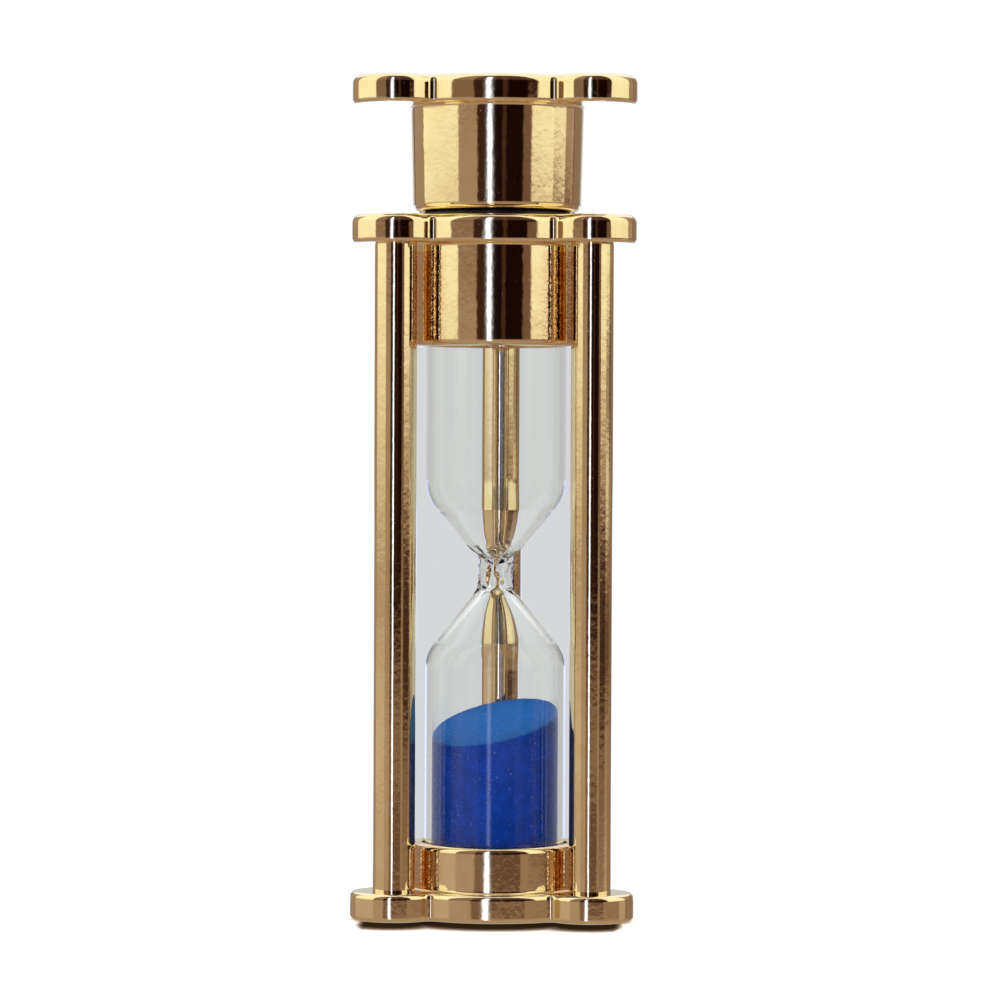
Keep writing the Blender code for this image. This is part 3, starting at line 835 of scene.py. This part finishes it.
# ---------------------------------------------------------------- sand glass
@dataclass
class SandGlass:
    """The blown glass and its sand."""

    wall: float = 0.65 * MM
    end_r: float = 2.0 * MM
    throat_up: float = 30.8 * MM      # middle of the throat above the glass's closed end
    neck_r: float = 1.72 * MM
    bore_r: float = 0.42 * MM
    pole_r: float = 0.05 * MM
    columns: int = 168
    bead_up: float = 1.9      # mm from the waist to each ring of beads
    beads: int = 8
    sand_gap: float = 0.03 * MM
    grain: float = 0.035 * MM
    sand_columns: int = 320
    glass: Gauge = field(default_factory=lambda: Gauge("glass_bulb"))

    def bulb(self) -> None:
        """Wall of the glass: outer path up, over the rim and down the inside."""
        low, high, r = self.glass.low[2], self.glass.high[2], self.glass.high[0]
        middle, inner_r, rim = low + self.throat_up, r - self.wall, self.wall * 0.45
        path = rounded_path([
            (self.pole_r, low, 0), (r, low, self.end_r), (r, middle - 8.08 * MM, 3.6 * MM),
            (self.neck_r, middle - 1.45 * MM, 0.6 * MM), (self.neck_r, middle + 1.95 * MM, 0.7 * MM),
            (2.8 * MM, middle + 2.75 * MM, 1.2 * MM), (r, middle + 7.85 * MM, 4.4 * MM),
            (r, high, rim), (inner_r, high, rim), (inner_r, middle + 7.55 * MM, 4.0 * MM),
            (self.bore_r, middle + 0.85 * MM, 0.5 * MM), (self.bore_r, middle - 1.2 * MM, 0.5 * MM),
            (inner_r, middle - 7.8 * MM, 3.2 * MM), (inner_r, low + self.wall, self.end_r - self.wall),
            (self.pole_r, low + self.wall, 0)], False, 14)
        waist, reach = middle + 0.45 * MM, 3.1 * MM
        path = finer(path, 0.12 * MM, waist - reach, waist + reach)
        points = grid_points(path, circle(self.columns))
        points[..., :2] *= self.pinched(points, waist)[..., None]
        make_piece("blown_glass", points, False, GLASS, Body.GLASS, ("glass_bulb",))

    def pinched(self, points: Array, waist: float) -> Array:
        """Swelling of the glass where it was pinched hot, as a factor of its radius.

        Round the throat both walls wave by a few sines of height and angle, and
        a ring of beads stands out of the outer wall at each of its ends.

        Args:
            points: the glass as turned, outer wall first.
            waist: level of the waist.

        Returns:
            The factor at each point.
        """
        up = (points[..., 2] - waist) / MM
        angle = np.arctan2(points[..., 1], points[..., 0])
        wave = (0.026 * np.sin(5 * angle + 1.3 * up) + 0.018 * np.sin(9 * angle - 2.1 * up + 1.0)
                + 0.018 * np.sin(7.0 * up + 0.9 * np.sin(2 * angle)))
        near = np.clip(1 - (up / 2.9) ** 2, 0, 1)
        outside = (np.arange(len(points)) < points[:, 0, 2].argmax())[:, None]
        ring = np.exp(-((np.abs(up + 0.15) - self.bead_up) / 0.38) ** 2)
        bead = ring * (0.01 + 0.045 * np.sin(self.beads * angle + 0.7))
        return 1 + near * wave + outside * bead

    def sand(self) -> None:
        """Sand that fills the round end up to a leaning surface, grain by grain.

        The path runs up the side and in over the surface. Rows of the surface
        rise by LEAN times their place, and seeded grains move every point.
        """
        rng = np.random.default_rng(5)
        radius = self.glass.high[0] - self.wall - self.sand_gap - self.grain
        floor = self.glass.low[2] + self.wall + self.sand_gap + self.grain
        level = Gauge("sand").high[2] - radius * math.hypot(*LEAN)
        corner = self.end_r - self.wall
        shoulder = floor + corner
        foot = rounded_path([(self.pole_r, floor, 0), (radius, floor, corner), (radius, shoulder + 1e-6, 0)],
                            False, 10)
        side = np.linspace(shoulder, level, 130)[1:]
        crown = np.linspace(radius, self.pole_r, 60)[1:]
        path = np.concatenate([foot, np.stack([np.full(len(side), radius), side], axis=1),
                               np.stack([crown, np.full(len(crown), level)], axis=1)])
        points = grid_points(path, circle(self.sand_columns))
        lift = np.clip((path[:, 1] - shoulder) / (level - shoulder), 0, 1)[:, None]
        points[..., 2] += (points[..., :2] @ np.array(LEAN)) * lift
        dust = rng.normal(size=points.shape[:2]) * self.grain * 0.5
        dust = np.clip(dust, -self.grain, self.grain)
        top = path[:, 1] >= level - 1e-9
        calm = np.clip(path[top, 0] / (1.5 * MM), 0.05, 1)[:, None]
        points[top, :, 2] += dust[top] * calm
        points[~top, :, :2] *= 1 + dust[~top][..., None] / radius
        make_piece("sand_fill", points, False, SAND, Body.GLASS, ("sand",))

    def build(self) -> None:
        """The glass, then the sand in it."""
        self.bulb()
        self.sand()


# ---------------------------------------------------------------- plug and cap lining
def rectangle(width: float, depth: float, radius: float) -> Array:
    """Round-cornered outline about the axis, once round, as (x, y) rows."""
    x, y = width / 2, depth / 2
    return rounded_path([(x, -y, radius), (x, y, radius), (-x, y, radius), (-x, -y, radius)], True, 6)


def dense(outline: Array, spacing: float) -> Array:
    """The same closed outline with points added along its straight runs."""
    return finer(np.concatenate([outline, outline[:1]]), spacing)[:-1]


def at_level(outline: Array, level: float) -> Array:
    """(x, y, z) rows of an outline laid at a level."""
    return np.concatenate([outline, np.full((len(outline), 1), level)], axis=1)


def resample(row: Array, count: int) -> Array:
    """The same closed run of points as a number of points evenly along it.

    Args:
        row: the points.
        count: how many to make.

    Returns:
        The new points.
    """
    closed = np.concatenate([row, row[:1]])
    along = np.concatenate([[0], np.cumsum(np.linalg.norm(np.diff(closed, axis=0), axis=1))])
    wanted = np.linspace(0, along[-1], count, endpoint=False)
    return np.stack([np.interp(wanted, along, closed[:, axis]) for axis in range(3)], axis=1)


@dataclass
class DataPlug:
    """The plug under the cap, its holder and the cap's lining."""

    grip_gap: float = 0.2 * MM
    holder_gap: float = 0.1 * MM
    corner_r: float = 0.5 * MM
    chamfer: float = 0.15 * MM
    sheet: float = 0.3 * MM
    lip: float = 0.12 * MM
    window: tuple[float, float] = (2.5 * MM, 1.95 * MM)
    window_corner: float = 0.15 * MM
    window_across: float = 2.3 * MM
    window_down: float = 5.2 * MM
    shell: Gauge = field(default_factory=lambda: Gauge("plug_shell"))

    def slotted_disc(self, name: str, node: str, body: Body, slot_gap: float, edge: float) -> None:
        """Round block with a slot for the plug right through it.

        The outer rows are circles and the inner ones the slot's outline, both
        in the direction of the slot's points, and they run out, up, in and down.

        Args:
            name: name of the piece.
            node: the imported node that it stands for.
            body: what it rides on.
            slot_gap: slot to plug.
            edge: rounding of the outer edges.
        """
        gauge = Gauge(node)
        radius, low, high = gauge.high[0], gauge.low[2], gauge.high[2]
        width = self.shell.high[0] * 2 + 2 * slot_gap
        depth = self.shell.high[1] * 2 + 2 * slot_gap
        outline = dense(rectangle(width, depth, self.corner_r + slot_gap), 0.35 * MM)
        reach = np.linalg.norm(outline, axis=1, keepdims=True)
        inset = radius - 1.2 * edge
        path = rounded_path([(inset, low, 0), (radius, low, edge), (radius, high, edge), (inset, high, 0)],
                            False, 5)
        flare = outline * (1 + self.chamfer / reach)
        inner = [at_level(flare, high), at_level(outline, high - self.chamfer),
                 at_level(outline, low + self.chamfer), at_level(flare, low)]
        points = np.concatenate([grid_points(path, outline / reach), np.stack(inner)])
        piece = make_piece(name, points, True, BLACK, body, (node,))
        piece.data.set_sharp_from_angle(angle=math.radians(38))

    def steel_shell(self) -> None:
        """Folded steel sleeve with a rolled mouth and two catch windows in each face."""
        width, depth = self.shell.high[0] * 2, self.shell.high[1] * 2
        low, high = self.shell.low[2], self.shell.high[2]
        rows = []
        for inset, level in ((0.0, low), (0.0, high - 2 * self.lip), (self.lip / 2, high - self.lip / 2),
                             (self.lip, high), (self.sheet, high), (self.sheet, low)):
            corner = max(self.corner_r - inset, 0.1 * MM)
            outline = dense(rectangle(width - 2 * inset, depth - 2 * inset, corner), 0.6 * MM)
            rows.append(at_level(outline, level))
        count = min(len(row) for row in rows)
        points = np.stack([resample(row, count) for row in rows])
        piece = make_piece("steel_shell", points, True, STEEL, Body.GLASS, ("plug_shell",))
        ring = rectangle(*self.window, self.window_corner)
        for side in (-1, 1):
            x = ring[:, 0] + side * self.window_across
            z = ring[:, 1] + high - self.window_down
            ends = [np.stack([x, np.full(len(ring), y), z], axis=1) for y in (-depth, depth)]
            cut_out(piece, np.stack(ends))

    def build(self) -> None:
        """The holder, the cap's lining and the shell."""
        self.slotted_disc("holder_disc", "plug_holder", Body.GLASS, self.holder_gap, 0.25 * MM)
        self.slotted_disc("lining", "cap_liner", Body.CAP, self.grip_gap, 0.1 * MM)
        self.steel_shell()


# ---------------------------------------------------------------- studio
@dataclass(frozen=True)
class Panel:
    """Upright part of the tent's wall, with its brightness by height.

    Its sides are degrees round from the camera's side, to the right where
    positive, and each row of light is (degrees above the horizon, brightness).
    """

    left: float
    right: float
    light: tuple[tuple[float, float], ...]
    blur: float = 3.0


LEFT_BOX = Panel(-118, -54, (
    (-8, .50), (-5.5, .50), (-5.1, .46), (-4.5, .60), (-4.0, .56), (-3.0, .52), (-2.5, .46), (-2.1, .39),
    (-1.4, .54), (-0.9, .62), (-0.1, .71), (0.5, .80), (1.3, .89), (1.9, .98), (3.0, 1.05)))
LEFT_EDGE = Panel(-54, -27, (
    (-8, .38), (-4.3, .42), (-3.2, .37), (-2, .37), (1.6, .37), (2.6, .26), (3.5, .22)))
LEFT_DARK = Panel(-27, -15, ((-8, .18), (-4.3, .22), (-3.0, .12), (-2.2, .05), (4, .04)))
FRONT = Panel(-15, 35, (
    (-8, .30), (-6.46, .27), (-6.14, .11), (-5.2, .105), (-4.85, .17), (-4.5, .27), (-4.3, .31), (-4.0, .25),
    (-3.3, .17), (-3.0, .10), (-2.6, .03), (-2.2, .012), (4, .008)))
FRONT_GLOW = Panel(6.5, 11.5, ((-3, 0), (-2, .02), (1.0, .05), (4, .05)))
RIGHT_EDGE = Panel(35, 47, (
    (-8, .30), (-5.9, .30), (-4.2, .33), (-3.0, .29), (-2.0, .28), (-1.4, .22), (-0.3, .16), (0.5, .14),
    (1.3, .18), (2.3, .17), (3.9, .14), (4.3, .03)))
RIGHT_BOX = Panel(47, 82, (
    (-8, .34), (-5.9, .28), (-5.1, .20), (-4.3, .23), (-4.05, .14), (-3.8, .07), (-3.5, .035), (-2.0, .045),
    (-1.67, .06), (-1.4, .13), (-1.13, .22), (-0.87, .35), (-0.1, .47), (0.2, .55), (0.73, .74), (1.0, .83),
    (1.27, .92), (2.0, 1.0), (4, 1.03)))
RIGHT_END = Panel(82, 105, (
    (-8, .46), (-5.9, .46), (-5.1, .31), (-4.2, .35), (-3.8, .28), (-3.3, .11), (-2.7, .08), (-2.2, .18),
    (-1.67, .27), (-1.4, .43), (-1.13, .64), (-0.87, .79), (-0.6, .86), (-0.33, .72), (-0.07, .40),
    (0.2, .30), (1.0, .30), (1.27, .50), (1.8, .85), (2.4, .95), (4, 1.0)))
RIGHT_CORNER = Panel(105, 124, (
    (-8, .28), (-5.0, .27), (-3.9, .30), (-3.4, .20), (-2.7, .13), (-1.7, .25), (-0.8, .42), (0.0, .20),
    (1.1, .13), (1.8, .33), (2.3, .40), (4, .34)))
RIGHT_REAR = Panel(124, 152, ((-8, .30), (-3, .24), (0, .26), (4, .28)), 10.0)
LEFT_REAR = Panel(-150, -118, ((-8, .36), (-3, .36), (0, .34), (4, .38)), 6.0)


@dataclass(frozen=True)
class Way:
    """Direction of a ray that leaves the object, turned so that -Y is the camera's side."""

    azimuth: Signal      # degrees round from the camera's side, to the right where positive
    height: Signal      # degrees above the horizon
    y: Signal
    z: Signal
    rear: Signal      # 1 behind the object


@dataclass
class Studio:
    """Camera, floor and the light of a small light tent with a dark front.

    Ends of the tent's parts are in degrees of height, or of azimuth where said.
    """

    distance: float = 0.43
    eye: float = 48.4 * MM
    aim: tuple[float, float] = (0.375 * MM, 41.4 * MM)
    azimuth: float = 2.7
    roll: float = 0.25
    lens: float = 154.8

    floor_r: float = 0.034
    floor_gap: float = 0.04 * MM
    pale: Colour = (2.1, 2.02, 1.98, 1)
    # painted shadow on the floor under the foot: the two colours below are its edge and its core
    shadow_edge: Colour = (0.40, 0.31, 0.24, 1)
    dark: Colour = (0.055, 0.026, 0.011, 1)
    shadow_core_to: Ends = (-1.6 * MM, 0.4 * MM)      # where the painted shadow's core fades, from the foot's outline, like the edge's ends below
    shadow_edge_to: Ends = (-0.3 * MM, 2.2 * MM)
    shade_out: float = 4.6 * MM
    shade_half: float = 12.2 * MM
    shade_fall: float = 2.5

    lowest: float = -8.0
    highest: float = 6.0
    panels: tuple[Panel, ...] = (LEFT_BOX, LEFT_EDGE, LEFT_DARK, FRONT, FRONT_GLOW, RIGHT_EDGE, RIGHT_BOX,
                                 RIGHT_END, RIGHT_CORNER, RIGHT_REAR, LEFT_REAR)
    rear_from: Ends = (146.0, 164.0)      # azimuth
    back: float = 0.60
    ground_from: Ends = (-10, -30)
    ground: float = 0.40
    haze_from: Ends = (12, 30)
    haze: float = 0.08
    overhead: Colour = (1.06, 1.10, 1.20, 1)
    roof_tilt: Ends = (0.57, 0.66)      # sine of a mirror's tilt that shows the roof
    roof_from: Ends = (14, 24)
    beneath: Colour = (1.06, 1.26, 2.05, 1)
    low_from: Ends = (-6.5, -5.5)
    low_to: Ends = (-0.6, -1.4)
    strip: tuple[float, float, float] = (-10.2, 3.1, 1.75)      # azimuth, half width, brightness
    strip_from: Ends = (-40, -20)
    strip_to: Ends = (60, 45)

    room: tuple[float, float, float] = (0.48, 0.30, 0.50)      # plain, share of the tent, added high up
    room_high: Ends = (8, 40)
    right_from: Ends = (20, 70)      # azimuth, as right_to and behind_from
    right_to: Ends = (130, 100)
    right_loss: float = 0.45
    behind_from: Ends = (80.0, 110.0)
    dim: Colour = (0.10, 0.09, 0.07, 1)
    dim_from: Ends = (1, 7)
    dim_share: float = 0.7
    card: Colour = (.665, .68, .69, 1)
    card_side: Ends = (180 - 1.45, 180 - 1.40)      # azimuth
    card_from: Ends = (-5.75, -5.70)
    card_to: Ends = (2.55, 2.50)

    def camera(self) -> None:
        """Camera a little above the middle of the hourglass, turned to its right."""
        turn = math.radians(self.azimuth)
        data = bpy.data.cameras.new("camera")
        data.lens = self.lens
        data.sensor_width = 36
        camera = bpy.data.objects.new("camera", data)
        bpy.context.collection.objects.link(camera)
        place = np.array([self.distance * math.sin(turn), -self.distance * math.cos(turn), self.eye])
        target = np.array([self.aim[0] * math.cos(turn), self.aim[0] * math.sin(turn), self.aim[1]])
        look = target - place
        flat = math.hypot(look[0], look[1])
        camera.location = place
        camera.rotation_euler = (math.pi / 2 + math.atan2(look[2], flat), -math.radians(self.roll),
                                 math.atan2(-look[0], look[1]))
        bpy.context.scene.camera = camera

    def floor(self, outline: LobedOutline) -> None:
        """Round floor that the camera alone sees, just under the foot.

        Args:
            outline: outline of the foot.
        """
        rim = circle(96)
        radii = np.linspace(0, self.floor_r, 24)[1:]
        points = grid_points(np.stack([radii, np.full(len(radii), -self.floor_gap)], axis=1), rim)
        mesh = bpy.data.meshes.new("floor")
        faces = grid_faces(len(radii), len(rim), False)[:, ::-1].tolist() + [list(range(len(rim)))]
        mesh.from_pydata(points.reshape(-1, 3).tolist(), [], faces)
        mesh.materials.append(self.floor_finish(outline))
        floor = bpy.data.objects.new("floor", mesh)
        bpy.context.collection.objects.link(floor)
        floor.visible_glossy = False
        floor.visible_diffuse = False
        floor.visible_transmission = False

    def floor_finish(self, outline: LobedOutline) -> bpy.types.Material:
        """Pale floor with a painted shadow under the foot, drawn out to the front; clear from below.

        The painted shadow follows the distance from the foot's outline: the least of the
        distances to its disc and its lobes, and more beyond the foot's sides.

        Args:
            outline: outline of the foot.

        Returns:
            The material.
        """
        material = bpy.data.materials.new("floor")
        material.use_nodes = True
        graph = Graph(material.node_tree)
        x, y, _ = graph.parts(graph.place())
        away = (x * x + y * y) ** 0.5
        y = y + self.shade_out
        near = (x * x + y * y) ** 0.5 - outline.disc_r
        for third in THIRDS:
            near = near.maths("MINIMUM", spread(x, y, third, ROD_CIRCLE) ** 0.5 - outline.lobe_r)
        beyond = ((x * x) ** 0.5 - self.shade_half).maths("MAXIMUM", 0.0)
        near = near + beyond * self.shade_fall
        # painted shadow under the foot: dark at the core, the edge colour round it, then the pale floor
        shadow_edge = graph.mix(near.step(*self.shadow_core_to), self.dark, self.shadow_edge)
        tone = graph.mix(near.step(*self.shadow_edge_to), shadow_edge, self.pale)
        matt = graph.node("ShaderNodeBsdfDiffuse", inputs={"Color": tone})
        clear = graph.node("ShaderNodeBsdfTransparent")
        below = graph.node("ShaderNodeNewGeometry", output="Backfacing")
        hidden = away.step(0.72 * self.floor_r, self.floor_r).maths("MAXIMUM", below)
        faded = graph.node("ShaderNodeMixShader", inputs={0: hidden, 1: matt, 2: clear})
        graph.node("ShaderNodeOutputMaterial", inputs={"Surface": faded})
        return material

    def light(self) -> None:
        """World: a tent to mirrors, a neutral room through glass, white and a grey card to the camera."""
        world = bpy.data.worlds.new("studio")
        bpy.context.scene.world = world
        world.use_nodes = True
        graph = Graph(world.node_tree)
        where = graph.node("ShaderNodeTexCoord", output="Generated")
        x, y, z = graph.parts(graph.node("ShaderNodeVectorRotate", {"rotation_type": "Z_AXIS"},
                                         {"Vector": where, "Angle": -math.radians(self.azimuth)}))
        degrees = 180 / math.pi
        azimuth, height = x.maths("ARCTAN2", -y) * degrees, z.maths("ARCSINE") * degrees
        way = Way(azimuth, height, y, z, self.far_side(azimuth, self.rear_from))
        level = self.brightness(graph, way)
        lit = self.through_glass(graph, way, level, self.tent(graph, way, level))
        lamp = graph.node("ShaderNodeBackground", inputs={0: lit, 1: 1.0})
        card = self.far_side(azimuth, self.card_side)
        card = card * height.step(*self.card_from) * height.step(*self.card_to)
        plain = graph.mix(card, (1, 1, 1, 1), self.card)
        backdrop = graph.node("ShaderNodeBackground", inputs={0: plain, 1: 1.0})
        camera = graph.node("ShaderNodeLightPath", output="Is Camera Ray")
        both = graph.node("ShaderNodeMixShader", inputs={0: camera, 1: lamp, 2: backdrop})
        graph.node("ShaderNodeOutputWorld", inputs={"Surface": both})

    @staticmethod
    def far_side(azimuth: Signal, ends: Ends) -> Signal:
        """Mask that rises as the azimuth, to either side, passes from one end to the other."""
        return (azimuth * azimuth).step(ends[0] ** 2, ends[1] ** 2)

    def brightness(self, graph: Graph, way: Way) -> Signal:
        """Brightness of the tent: its panels, its even back, the ground and the haze high up.

        Args:
            graph: the world's graph.
            way: direction of the ray.

        Returns:
            The brightness.
        """
        rise = (way.height - self.lowest) / (self.highest - self.lowest)
        level = 0.0
        for panel in self.panels:
            level = level + self.panel(graph, way.azimuth, rise, panel)
        level = level * (1 - way.rear) + self.back * way.rear
        under = way.height.step(*self.ground_from)
        level = level * (1 - under) + self.ground * under
        return level + way.height.step(*self.haze_from) * self.haze

    def panel(self, graph: Graph, azimuth: Signal, rise: Signal, panel: Panel) -> Signal:
        """Brightness that one panel adds: its light by height, between its two sides.

        Args:
            graph: the world's graph.
            azimuth: degrees round from the camera's side.
            rise: height as a share of the ramps' span.
            panel: the panel.

        Returns:
            The brightness, 0 away from the panel.
        """
        span = self.highest - self.lowest
        stops = [((degrees - self.lowest) / span, light) for degrees, light in panel.light]
        ramp = graph.node("ShaderNodeValToRGB", {"stops": stops}, {0: rise})
        light = graph.node("ShaderNodeSeparateColor", inputs={0: ramp})
        half = panel.blur / 2
        return (azimuth.step(panel.left - half, panel.left + half)
                * azimuth.step(panel.right + half, panel.right - half) * light)

    def tent(self, graph: Graph, way: Way, level: Signal) -> Signal:
        """Colour of the tent: warm walls, a cool back, the roof, the low back and the strip.

        A mirror that sends the camera's line this way is tilted by half the turn,
        so the sine of its tilt is z over the length of (way + the line back).

        Args:
            graph: the world's graph.
            way: direction of the ray.
            level: brightness of the walls.

        Returns:
            The colour.
        """
        tilt = way.z / (2.0001 - 2 * way.y) ** 0.5
        roof = tilt.step(*self.roof_tilt) * way.height.step(*self.roof_from)
        low = way.rear * way.height.step(*self.low_from) * way.height.step(*self.low_to)
        warm = graph.rgb(level, level ** 1.28 * 0.975, level ** 1.33 * 0.80)
        cool = graph.rgb(level, level * 1.03, level * 1.05)
        walls = graph.mix(roof, graph.mix(way.rear, warm, cool), self.overhead)
        place, half, bright = self.strip
        off = (way.azimuth - place) / half
        glow = (-(off * off)).maths("EXPONENT")
        glow = glow * way.height.step(*self.strip_from) * way.height.step(*self.strip_to) * bright
        lit = graph.rgb(glow * 1.05, glow * 1.22, glow * 1.9)
        return graph.node("ShaderNodeMix", {"data_type": "RGBA", "blend_type": "ADD"},
                          {0: 1.0, 6: graph.mix(low, walls, self.beneath), 7: lit}, output=2)

    def through_glass(self, graph: Graph, way: Way, level: Signal, seen: Signal) -> Signal:
        """The tent, or the neutral room for a ray that only the glass has bent.

        A ray that a rod has mirrored behind the glass keeps the tent, dimmed
        high up, unless it leaves to the back after few passes through glass.

        Args:
            graph: the world's graph.
            way: direction of the ray.
            level: brightness of the tent.
            seen: colour of the tent.

        Returns:
            The colour.
        """
        plain, share, high = self.room
        right = way.azimuth.step(*self.right_from) * way.azimuth.step(*self.right_to)
        room = level * share + plain + way.height.step(*self.room_high) * high
        room = room * (1 - right * self.right_loss)
        neutral = graph.rgb(room * 0.985, room * 1.02, room * 1.01)
        bounced = graph.node("ShaderNodeLightPath", output="Glossy Depth").step(0.4, 0.6)
        depth = graph.node("ShaderNodeLightPath", output="Transmission Depth")
        kept = 1 - bounced * (1 - (1 - depth.step(6.4, 6.6)) * self.far_side(way.azimuth, self.behind_from))
        through = graph.node("ShaderNodeLightPath", output="Is Transmission Ray") * kept
        dimming = bounced * depth.step(3.4, 3.6) * way.height.step(*self.dim_from) * self.dim_share
        return graph.mix(through, graph.mix(dimming, seen, self.dim), neutral)

    def build(self, outline: LobedOutline) -> None:
        """Camera first, then the floor, the light and what the renderer needs for the glass.

        Args:
            outline: outline of the foot.
        """
        self.camera()
        self.floor(outline)
        self.light()
        scene = bpy.context.scene
        scene.view_settings.view_transform = "Standard"
        scene.cycles.max_bounces = 16
        scene.cycles.transmission_bounces = 14
        scene.cycles.glossy_bounces = 8


def carry_over() -> None:
    """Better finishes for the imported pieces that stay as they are."""
    kept = {"fill_stopper": RUBBER, "lower_cushion": FOAM, "upper_cushion": FOAM, "plug_tongue": BLACK,
            "circuit_board": BOARD, "memory_chip": CHIP, "controller_chip": CHIP, "clock_crystal": STEEL}
    kept |= {f"base_screw_{number}": SCREW for number in (1, 2, 3)}
    kept |= {f"plug_contact_{number}": CONTACT for number in (1, 2, 3, 4)}
    for node, finish in kept.items():
        finish.dress(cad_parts[node])
        LOG.info("%s: packed shape, %s", node, finish.slot)


def main() -> None:
    """Builds the studio and every piece in order."""
    logging.basicConfig(level=logging.INFO, format="%(name)s: %(message)s")
    castings = Castings()
    Studio().build(castings.outline)
    castings.build()
    SandGlass().build()
    DataPlug().build()
    carry_over()


if __name__ == "__main__":
    main()
